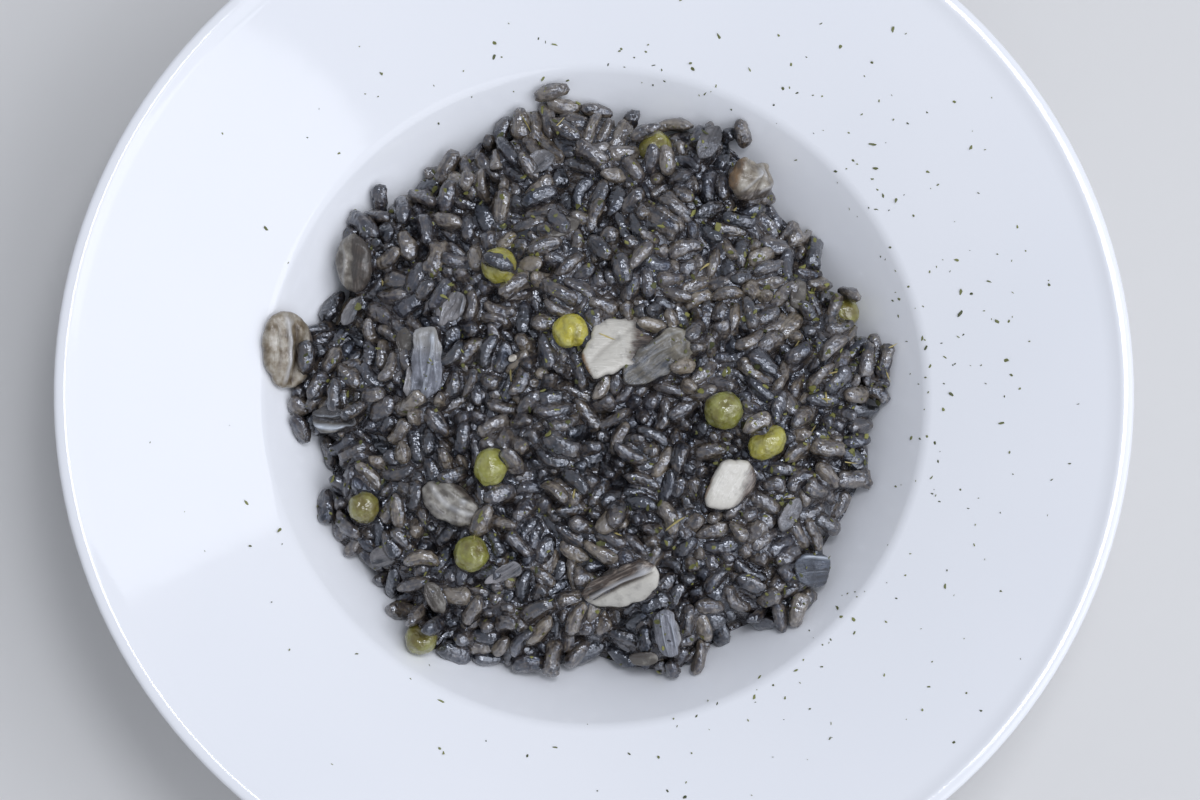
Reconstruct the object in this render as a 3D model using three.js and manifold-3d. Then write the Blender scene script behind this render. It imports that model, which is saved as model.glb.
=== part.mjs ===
// Black risotto in a deep, wide-rimmed pasta plate, with peas, mushroom slices
// and strips of onion half sunk in the rice.
// Units are millimetres and +Z is up. The origin is the middle of the plate's
// foot ring, at the level of the table.

import * as THREE from "three";
import { mergeVertices } from "three/addons/utils/BufferGeometryUtils.js";
import Module from "manifold-3d";

const wasm = await Module();
wasm.setup();

const { cos, exp, hypot, max, PI, sin, sqrt, tan, atan2 } = Math;
const degrees = (angle) => THREE.MathUtils.degToRad(angle);

// ---------------------------------------------------------------------------
// Driving dimensions
// ---------------------------------------------------------------------------

const GAP = 0.35; // clearance between pieces that lie on each other
const WELD = 1e-4; // corners nearer than this are one

const PLATE = {
  radius: 135,
  height: 50,
  wall: 4.8, // thickness of the china, and the width of its rounded edge
  lipBend: 20, // radius of the slight upward turn at the edge
  lipSlope: degrees(30),
  rimSlope: degrees(18.5),
  wellRadius: 86, // where the rim turns down into the well
  wellBend: 7,
  wallSlope: degrees(45),
  floorBend: 20,
  floorLevel: 8,
  footOuter: 50,
  footInner: 45,
  footDraft: 0.6,
  steps: 52,
};

const HEAP = {
  radius: 73.5, // mean reach of the rice, up on the wall of the well
  top: 40,
  shoulder: 2.4, // a larger number makes the top flatter
  roundness: 0.6, // a smaller number makes the edge blunter
  ripple: 0.7,
  waves: [3.1, 7, 3.7, 9, 5.3], // mm for each radian of the ripples that cross
  calm: 8, // a larger number carries knots and ripples nearer the edge
  scallop: 0.8, // small waves round the edge
  scallops: 13,
  steps: 60,
  rings: 15,
};

// Where the heap's edge bulges or draws in: degrees round, mm outwards, degrees of spread.
const EDGE_SWELLS = [
  { at: 10, reach: 2, spread: 5 },
  { at: 30, reach: -2.5, spread: 11 },
  { at: 65, reach: 6, spread: 9 },
  { at: 98, reach: 5, spread: 16 },
  { at: 143, reach: 4.5, spread: 9 },
  { at: 180, reach: 4.5, spread: 7 },
  { at: 210, reach: 6, spread: 6 },
  { at: 240, reach: 6.5, spread: 10 },
  { at: 270, reach: -4, spread: 6 },
  { at: 288, reach: 2.5, spread: 6 },
  { at: 316, reach: 4, spread: 8 },
  { at: 345, reach: 1.5, spread: 12 },
];

// Knots of rice that stand up out of the heap.
const LUMPS = [
  { x: 37, y: 50, rise: 2.2, spread: 6 },
  { x: 37, y: 32, rise: 2.4, spread: 6 },
  { x: 38, y: 15, rise: 2, spread: 6 },
  { x: 16, y: 45, rise: 1.8, spread: 7 },
  { x: -19, y: 37, rise: 1.8, spread: 8 },
  { x: -34, y: 54, rise: 1.5, spread: 6 },
  { x: 33, y: -50, rise: 2, spread: 6 },
  { x: 45, y: -12, rise: 1.8, spread: 8 },
  { x: 66, y: 3, rise: 1.3, spread: 6 },
];

// Dips between the knots.
const DIPS = [
  { x: -58, y: 28, rise: -3.2, spread: 7 },
  { x: 27, y: 39, rise: -3, spread: 5 },
  { x: 27, y: 28, rise: -2.4, spread: 5 },
  { x: 24, y: -4, rise: -2, spread: 4.5 },
  { x: 9, y: 24, rise: -2, spread: 5 },
  { x: 10, y: -60, rise: -3, spread: 6 },
  { x: -63, y: -14, rise: -2.4, spread: 5 },
  { x: 56, y: 0, rise: -2.2, spread: 6 },
  { x: -9, y: 61, rise: -2, spread: 5 },
  { x: -26, y: 49, rise: -2.2, spread: 5 },
  { x: -29, y: 2, rise: -2.2, spread: 5 },
  { x: 16, y: -25, rise: -2, spread: 6 },
  { x: 26, y: -43, rise: -2.4, spread: 6 },
  { x: -26, y: -58, rise: -2.4, spread: 6 },
  { x: 43, y: 42, rise: -2, spread: 5 },
];

// Peas, by the place of their middle seen from above, their size and how much
// of that size stands above the rice.
const PEAS = [
  { x: -24, y: 32, size: 9.2, proud: 0.5 },
  { x: -6, y: 14.7, size: 9.2, proud: 0.6 },
  { x: 32.7, y: -5.2, size: 10, proud: 0.55 },
  { x: 43.6, y: -13.3, size: 9.4, proud: 0.5 },
  { x: -26, y: -19.6, size: 8.8, proud: 0.5 },
  { x: -58, y: -29.3, size: 8, proud: 0.5 },
  { x: -30.8, y: -41.3, size: 9.2, proud: 0.55 },
  { x: 15.6, y: 64.6, size: 8.8, proud: 0.28 },
  { x: -43.6, y: -62, size: 8.6, proud: 0.4 },
  { x: 64, y: 22.2, size: 8, proud: 0.25 },
];

// Slices of mushroom. Turn is the heading of the long side, tilt leans the
// slice over its long side and pitch raises one end. Flat is the share of the
// half width that is left on the gill side.
const MUSHROOMS = [
  { x: 5.3, y: 9.8, length: 15.5, width: 14.5, thick: 3, turn: 12, tilt: -12, pitch: 4, flat: 0.8 },
  { x: 34.2, y: -23.8, length: 14.5, width: 12, thick: 3.4, turn: 35, tilt: 8, pitch: 0, flat: 0.8 },
  { x: 7, y: -49.3, length: 22, width: 10.5, thick: 3.2, turn: 12, tilt: 20, pitch: 0, flat: 0.45 },
  { x: -36.5, y: -28.5, length: 17.5, width: 11.5, thick: 3, turn: -25, tilt: -6, pitch: 0, flat: 0.7 },
  { x: -77.4, y: 12.4, length: 20, width: 13, thick: 3.4, turn: 92, tilt: 8, pitch: 0, flat: 0.75 },
  { x: 39.6, y: 55.4, length: 12.5, width: 10.8, thick: 5, turn: -20, tilt: 10, pitch: 10, flat: 0.9 },
  { x: -61, y: 34, length: 15, width: 8.5, thick: 4, turn: 84, tilt: 0, pitch: 0, flat: 0.7 },
];

// Strips and leaves of cooked onion, set out in the same way but thin and rolled.
const ONIONS = [
  { x: 19.4, y: 9.2, length: 13, width: 10, thick: 1.4, turn: 28, tilt: 14, pitch: 6, flat: 0.9 },
  { x: 18.4, y: -60.6, length: 12.5, width: 8.8, thick: 1.4, turn: 99, tilt: 0, pitch: 0, flat: 0.9 },
  { x: 54.4, y: -45, length: 10, width: 8, thick: 1.4, turn: 10, tilt: 0, pitch: 0, flat: 0.9 },
  { x: -22.8, y: -45.2, length: 10, width: 5, thick: 1.4, turn: 30, tilt: 25, pitch: 0, flat: 0.6 },
  { x: -65.4, y: -6.3, length: 12.5, width: 7, thick: 2.4, turn: -8, tilt: 0, pitch: 0, flat: 0.8 },
  { x: -42.2, y: 7, length: 20, width: 7, thick: 1.8, turn: 76, tilt: 12, pitch: 0, flat: 0.9 },
  { x: -35.6, y: 20.8, length: 9.5, width: 6.2, thick: 1.6, turn: 72, tilt: -10, pitch: 0, flat: 0.9 },
];

const MUSHROOM_CURL = 0.06; // rise of the ends of a slice, as a share of its length
const ONION_CURL = 0.12;
const SLICE_SINK = 0.45; // share of a slice's thickness that lies below the rice

// ---------------------------------------------------------------------------
// Materials
// ---------------------------------------------------------------------------

const material = (color, roughness) =>
  new THREE.MeshStandardMaterial({ color, roughness, metalness: 0 });

const PORCELAIN = material("#eceff5", 0.12);
const INKED_RICE = material("#3a3a3e", 0.35);
const PEA_SKIN = material("#97952f", 0.3);
const MUSHROOM_FLESH = material("#b9b6aa", 0.4);
const ONION_LEAF = material("#7a7d80", 0.25);

// ---------------------------------------------------------------------------
// Solids
// ---------------------------------------------------------------------------

// A closed geometry as a solid for joining and cutting.
function solidOf(geometry) {
  const bare = geometry.clone();
  bare.deleteAttribute("normal");
  bare.deleteAttribute("uv");
  const merged = mergeVertices(bare, WELD);
  return new wasm.Manifold(
    new wasm.Mesh({
      numProp: 3,
      vertProperties: merged.attributes.position.array,
      triVerts: new Uint32Array(merged.index.array),
    }),
  );
}

function geometryOf(solid) {
  const { vertProperties, triVerts } = solid.getMesh();
  const geometry = new THREE.BufferGeometry();
  geometry.setAttribute("position", new THREE.BufferAttribute(vertProperties, 3));
  geometry.setIndex(new THREE.BufferAttribute(triVerts, 1));
  geometry.computeVertexNormals();
  return geometry;
}

function namedMesh(name, geometry, finish) {
  const mesh = new THREE.Mesh(geometry, finish);
  mesh.name = name;
  return mesh;
}

// ---------------------------------------------------------------------------
// Plate
// ---------------------------------------------------------------------------

// The eating face is three bends joined by straight runs. A bend is an arc, met
// at the slope of the face, and a negative radius bends it downwards.
function plateBends() {
  const p = PLATE;
  const down = (slope, length) => new THREE.Vector2(sin(slope), -cos(slope)).multiplyScalar(length);
  const half = p.wall / 2;
  const edge = new THREE.Vector2(p.radius - half, p.height - half);
  const lip = edge.clone().sub(down(p.lipSlope, p.lipBend + half));
  const rimEnd = lip.clone().add(down(p.rimSlope, p.lipBend));
  const rimStart = new THREE.Vector2(
    p.wellRadius,
    rimEnd.y - (rimEnd.x - p.wellRadius) * tan(p.rimSlope),
  );
  const well = rimStart.clone().add(down(p.rimSlope, p.wellBend));
  const wallEnd = well.clone().add(down(p.wallSlope, -p.wellBend));
  const wallStart = down(p.wallSlope, p.floorBend);
  wallStart.y += p.floorLevel + p.floorBend;
  const floorRadius = wallEnd.x - wallStart.x - (wallEnd.y - wallStart.y) / tan(p.wallSlope);
  const floor = new THREE.Vector2(floorRadius, p.floorLevel + p.floorBend);
  return [
    { centre: floor, radius: p.floorBend, from: 0, to: p.wallSlope, steps: 4 },
    { centre: well, radius: -p.wellBend, from: p.wallSlope, to: p.rimSlope, steps: 2 },
    { centre: lip, radius: p.lipBend, from: p.rimSlope, to: p.lipSlope, steps: 1 },
  ];
}

const BENDS = plateBends();

// Points on the face that lies a given depth below the eating face.
function plateFace(depth) {
  return BENDS.flatMap(({ centre, radius, from, to, steps }) =>
    Array.from({ length: steps + 1 }, (_, i) => {
      const slope = from + ((to - from) * i) / steps;
      const reach = radius + depth;
      return new THREE.Vector2(centre.x + reach * sin(slope), centre.y - reach * cos(slope));
    }),
  );
}

// The round edge that joins the two faces, without its two ends.
function plateEdge() {
  const half = PLATE.wall / 2;
  const turns = 6;
  return Array.from({ length: turns - 1 }, (_, i) => {
    const angle = PLATE.lipSlope + PI / 2 - (PI * (i + 1)) / turns;
    return new THREE.Vector2(
      PLATE.radius - half + half * cos(angle),
      PLATE.height - half + half * sin(angle),
    );
  });
}

function plateGeometry() {
  const p = PLATE;
  const under = p.floorLevel - p.wall;
  const foot = [
    [p.footOuter + p.footDraft, under],
    [p.footOuter, 0],
    [p.footInner, 0],
    [p.footInner - p.footDraft, under],
    [0, under],
  ].map(([radius, level]) => new THREE.Vector2(radius, level));
  const profile = [
    new THREE.Vector2(0, p.floorLevel),
    ...plateFace(0),
    ...plateEdge(),
    ...plateFace(p.wall).reverse(),
    ...foot,
  ];
  return new THREE.LatheGeometry(profile.reverse(), p.steps).rotateX(PI / 2);
}

// Height of the eating face at a distance from the middle.
function plateLevel(distance) {
  const [floor, well] = BENDS;
  if (distance <= floor.centre.x) return PLATE.floorLevel;
  const wallStart = floor.centre.x + floor.radius * sin(floor.to);
  const wallEnd = well.centre.x + well.radius * sin(well.from);
  if (distance <= wallStart) {
    return floor.centre.y - sqrt(floor.radius ** 2 - (distance - floor.centre.x) ** 2);
  }
  const wallFoot = floor.centre.y - floor.radius * cos(floor.to);
  if (distance <= wallEnd) return wallFoot + (distance - wallStart) * tan(floor.to);
  if (distance <= PLATE.wellRadius) {
    return well.centre.y + sqrt(well.radius ** 2 - (distance - well.centre.x) ** 2);
  }
  const rimFoot = well.centre.y - well.radius * cos(well.to);
  return rimFoot + (distance - PLATE.wellRadius) * tan(well.to);
}

// ---------------------------------------------------------------------------
// Heap of rice
// ---------------------------------------------------------------------------

// Reach of the rice at an angle round the heap.
function heapReach(angle) {
  const turn = THREE.MathUtils.radToDeg(angle);
  return EDGE_SWELLS.reduce(
    (reach, swell) => {
      const away = ((((turn - swell.at + 180) % 360) + 360) % 360) - 180;
      return reach + swell.reach * exp(-((away / swell.spread) ** 2));
    },
    HEAP.radius + HEAP.scallop * sin(HEAP.scallops * angle),
  );
}

// Height of the rice at a place on the plate.
function heapLevel(x, y) {
  const reach = heapReach(atan2(y, x));
  const share = hypot(x, y) / reach;
  const edge = plateLevel(reach) + GAP;
  if (share >= 1) return max(edge, plateLevel(hypot(x, y)) + GAP);
  const dome = (HEAP.top - edge) * (1 - share ** HEAP.shoulder) ** HEAP.roundness;
  const [a, b, c, d, e] = HEAP.waves;
  const ripple = HEAP.ripple * (sin(x / a + y / b) + sin(y / c - x / d) * cos(x / e));
  const knots = [...LUMPS, ...DIPS].reduce(
    (sum, { x: kx, y: ky, rise, spread }) =>
      sum + rise * exp(-((x - kx) ** 2 + (y - ky) ** 2) / spread ** 2),
    0,
  );
  return edge + dome + (ripple + knots) * (1 - share ** HEAP.calm);
}

// Rings of points from the middle of the top out to the edge and back under
// the heap along the well, skinned with triangles.
function heapGeometry() {
  const { rings, steps } = HEAP;
  const [floor] = BENDS;
  const under = [1, 0.75, 0.5, 0.25, 0].map(
    (share) => floor.centre.x + floor.radius * sin(floor.to * share),
  );
  const points = [0, 0, heapLevel(0, 0)];
  const addRing = (place) => {
    for (let i = 0; i < steps; i += 1) {
      const angle = (2 * PI * i) / steps;
      const { distance, level } = place(angle);
      points.push(distance * cos(angle), distance * sin(angle), level(distance));
    }
  };
  for (let ring = 1; ring <= rings; ring += 1) {
    const share = sin((PI / 2) * (ring / rings));
    addRing((angle) => ({
      distance: heapReach(angle) * share,
      level: (distance) => heapLevel(distance * cos(angle), distance * sin(angle)),
    }));
  }
  under.forEach((distance) =>
    addRing(() => ({ distance, level: () => plateLevel(distance) + GAP })),
  );
  points.push(0, 0, PLATE.floorLevel + GAP);

  const last = points.length / 3 - 1;
  const ringCount = rings + under.length;
  const corner = (ring, step) => 1 + ring * steps + (step % steps);
  const faces = [];
  for (let step = 0; step < steps; step += 1) {
    faces.push(0, corner(0, step), corner(0, step + 1));
    for (let ring = 0; ring < ringCount - 1; ring += 1) {
      const [a, b] = [corner(ring, step), corner(ring + 1, step)];
      const [c, d] = [corner(ring + 1, step + 1), corner(ring, step + 1)];
      faces.push(a, b, c, a, c, d);
    }
    faces.push(corner(ringCount - 1, step), last, corner(ringCount - 1, step + 1));
  }
  const geometry = new THREE.BufferGeometry();
  geometry.setAttribute("position", new THREE.Float32BufferAttribute(points, 3));
  geometry.setIndex(faces);
  return geometry;
}

// ---------------------------------------------------------------------------
// Toppings
// ---------------------------------------------------------------------------

function peaGeometry({ size }, margin) {
  return new THREE.IcosahedronGeometry(size / 2 + margin, 1);
}

// A flat slice: an oval whose gill side is flattened, with bevelled faces and
// both ends curled up.
function sliceGeometry({ length, width, thick, flat }, curl, margin) {
  const corners = 10;
  const bevel = thick / 3;
  const outline = new THREE.Shape(
    Array.from({ length: corners }, (_, i) => {
      const angle = (2 * PI * i) / corners;
      const side = sin(angle) < 0 ? flat : 1;
      return new THREE.Vector2(
        (length / 2 - bevel) * cos(angle),
        (width / 2 - bevel) * sin(angle) * side,
      );
    }),
  );
  const geometry = new THREE.ExtrudeGeometry(outline, {
    depth: thick - 2 * bevel,
    bevelThickness: bevel + margin,
    bevelSize: bevel + margin,
    bevelSegments: 1,
  }).translate(0, 0, bevel - thick / 2);
  const places = geometry.attributes.position;
  for (let i = 0; i < places.count; i += 1) {
    const share = places.getX(i) / (length / 2);
    places.setZ(i, places.getZ(i) + curl * length * share ** 2);
  }
  return geometry;
}

// The way the open heap slopes at a place, without its knots and ripples.
function heapNormal(x, y) {
  const step = 6;
  const slope = (dx, dy) =>
    (heapLevel(x + dx, y + dy) - heapLevel(x - dx, y - dy)) / (2 * step);
  return new THREE.Vector3(-slope(step, 0), -slope(0, step), 1).normalize();
}

// Lays a slice along the heap, then turns and leans it.
function layOnHeap(mesh, { x, y, thick, turn, tilt, pitch }) {
  const normal = heapNormal(x, y);
  const level = heapLevel(x, y) + thick * (0.5 - SLICE_SINK);
  mesh.position.set(x, y, level);
  mesh.quaternion
    .setFromUnitVectors(new THREE.Vector3(0, 0, 1), normal)
    .multiply(
      new THREE.Quaternion().setFromEuler(
        new THREE.Euler(degrees(tilt), degrees(pitch), degrees(turn), "ZXY"),
      ),
    );
}

// Raises a piece until all of it clears the plate.
function liftOffPlate(mesh) {
  mesh.updateMatrixWorld();
  const places = mesh.geometry.attributes.position;
  const corner = new THREE.Vector3();
  let lift = 0;
  for (let i = 0; i < places.count; i += 1) {
    corner.fromBufferAttribute(places, i).applyMatrix4(mesh.matrixWorld);
    lift = max(lift, plateLevel(hypot(corner.x, corner.y)) + GAP - corner.z);
  }
  mesh.position.z += lift;
}

// Each topping comes with its pocket, the same shape a clearance larger.
function makePea(row, index) {
  const mesh = namedMesh(`pea_${index + 1}`, peaGeometry(row, 0), PEA_SKIN);
  const level = heapLevel(row.x, row.y) + row.size * (row.proud - 0.5);
  mesh.position.set(row.x, row.y, level);
  return { mesh, pocket: peaGeometry(row, GAP) };
}

function makeSlice(kind, finish, curl) {
  return (row, index) => {
    const mesh = namedMesh(`${kind}_${index + 1}`, sliceGeometry(row, curl, 0), finish);
    layOnHeap(mesh, row);
    return { mesh, pocket: sliceGeometry(row, curl, GAP) };
  };
}

const toppings = [
  ...PEAS.map(makePea),
  ...MUSHROOMS.map(makeSlice("mushroom", MUSHROOM_FLESH, MUSHROOM_CURL)),
  ...ONIONS.map(makeSlice("onion", ONION_LEAF, ONION_CURL)),
];

// ---------------------------------------------------------------------------
// The whole
// ---------------------------------------------------------------------------

const risotto = new THREE.Group();
risotto.add(namedMesh("plate", plateGeometry(), PORCELAIN));

let rice = solidOf(heapGeometry());
for (const { mesh, pocket } of toppings) {
  liftOffPlate(mesh);
  mesh.updateMatrixWorld();
  rice = rice.subtract(solidOf(pocket.applyMatrix4(mesh.matrixWorld)));
  risotto.add(mesh);
}
risotto.add(namedMesh("risotto", geometryOf(rice), INKED_RICE));

export default risotto;
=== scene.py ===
import math
from collections import namedtuple

import bmesh
import bpy
import numpy as np
from mathutils import Matrix, Vector, noise
from mathutils.bvhtree import BVHTree


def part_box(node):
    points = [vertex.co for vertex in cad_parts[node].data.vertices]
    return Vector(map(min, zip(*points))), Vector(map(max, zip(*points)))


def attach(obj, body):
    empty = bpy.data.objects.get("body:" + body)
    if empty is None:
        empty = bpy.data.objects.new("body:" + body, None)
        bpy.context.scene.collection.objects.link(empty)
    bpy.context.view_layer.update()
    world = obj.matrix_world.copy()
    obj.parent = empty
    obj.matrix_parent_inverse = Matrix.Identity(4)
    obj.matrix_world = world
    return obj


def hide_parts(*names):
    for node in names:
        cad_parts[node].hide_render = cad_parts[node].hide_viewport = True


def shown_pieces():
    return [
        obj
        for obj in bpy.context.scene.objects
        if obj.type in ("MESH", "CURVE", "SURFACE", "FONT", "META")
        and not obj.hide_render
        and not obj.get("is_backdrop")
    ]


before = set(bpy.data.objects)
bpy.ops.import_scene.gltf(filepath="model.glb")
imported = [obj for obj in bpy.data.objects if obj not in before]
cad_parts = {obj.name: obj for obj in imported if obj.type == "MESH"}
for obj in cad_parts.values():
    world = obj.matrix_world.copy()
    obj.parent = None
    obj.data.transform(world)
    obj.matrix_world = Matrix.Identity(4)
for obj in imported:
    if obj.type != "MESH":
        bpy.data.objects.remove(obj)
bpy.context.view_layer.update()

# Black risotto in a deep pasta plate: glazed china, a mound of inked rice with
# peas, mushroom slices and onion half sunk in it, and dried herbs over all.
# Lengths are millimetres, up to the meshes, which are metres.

bl_info = {
    "name": "Black risotto",
    "version": (1, 0, 0),
    "blender": (4, 5, 0),
    "location": "View3D > Sidebar > Risotto",
    "description": "Builds a plate of black risotto grain by grain",
    "category": "Object",
}

MM = 0.001

# The china's section, as it was turned. Slopes are degrees.
RADIUS, HEIGHT, WALL = 135, 50, 4.8
LIP_BEND, LIP_SLOPE = 20, 30
RIM_SLOPE = 18.5
WELL_RADIUS, WELL_BEND = 86, 7
WALL_SLOPE = 45
FLOOR_BEND, FLOOR_LEVEL = 20, 8
FOOT_OUTER, FOOT_INNER, FOOT_DRAFT, FOOT_ROUND = 50, 45, 0.6, 1.2

# A pea's tone runs from olive 0 to yellow 1. Squash is its length, width and heading where it is
# no ball. Dents are places on its top, as shares of its radius, with depth in mm and width as a
# share of the radius.
# Ink is how far the broth has stained a pea; its dents are darkened besides, as painted shade.
Pea = namedtuple("Pea", "tone ink squash dents")
ROUND = (1, 1, 0)
PEAS = {
    "pea_1": Pea(0.6, 0.5, ROUND, [(0.1, 0.1, 0.5, 0.35)]),
    "pea_2": Pea(1.0, 0.15, ROUND, [
        (-0.5, 0.25, 0.3, 0.2), (-0.6, 0.02, 0.35, 0.2), (-0.46, -0.2, 0.35, 0.2), (-0.25, 0.32, 0.25, 0.18),
        (-0.2, 0.0, -0.2, 0.25), (0.42, 0.15, 0.45, 0.2), (0.4, -0.15, 0.6, 0.2), (0.36, -0.45, 0.8, 0.2),
        (0.33, -0.75, 1.1, 0.2)]),
    "pea_3": Pea(0.2, 0.5, ROUND, [(-0.1, 0.3, 0.3, 0.5), (0.15, -0.5, 0.5, 0.2)]),
    "pea_4": Pea(0.6, 0.4, (1.16, 0.86, 40), [(-0.35, 0.6, 1.0, 0.35), (0.1, 0.75, 0.6, 0.25)]),
    "pea_5": Pea(0.3, 0.25, (1.12, 0.95, 80), [(0.3, 0.2, 0.3, 0.3)]),
    "pea_6": Pea(0.3, 0.72, ROUND, [(-0.2, 0.1, 0.4, 0.4), (0.1, -0.7, 0.5, 0.3)]),
    "pea_7": Pea(0.2, 0.45, ROUND, [(0.6, 0.2, 0.9, 0.35), (-0.3, 0.2, 0.3, 0.3)]),
    "pea_8": Pea(0.4, 0.7, ROUND, [(0.3, 0.2, 0.6, 0.3)]),
    "pea_9": Pea(0.2, 0.6, ROUND, [(0.0, 0.35, 1.5, 0.6)]),
    "pea_10": Pea(0.3, 0.75, ROUND, [(0.2, 0.0, 0.4, 0.4)]),
}

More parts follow.
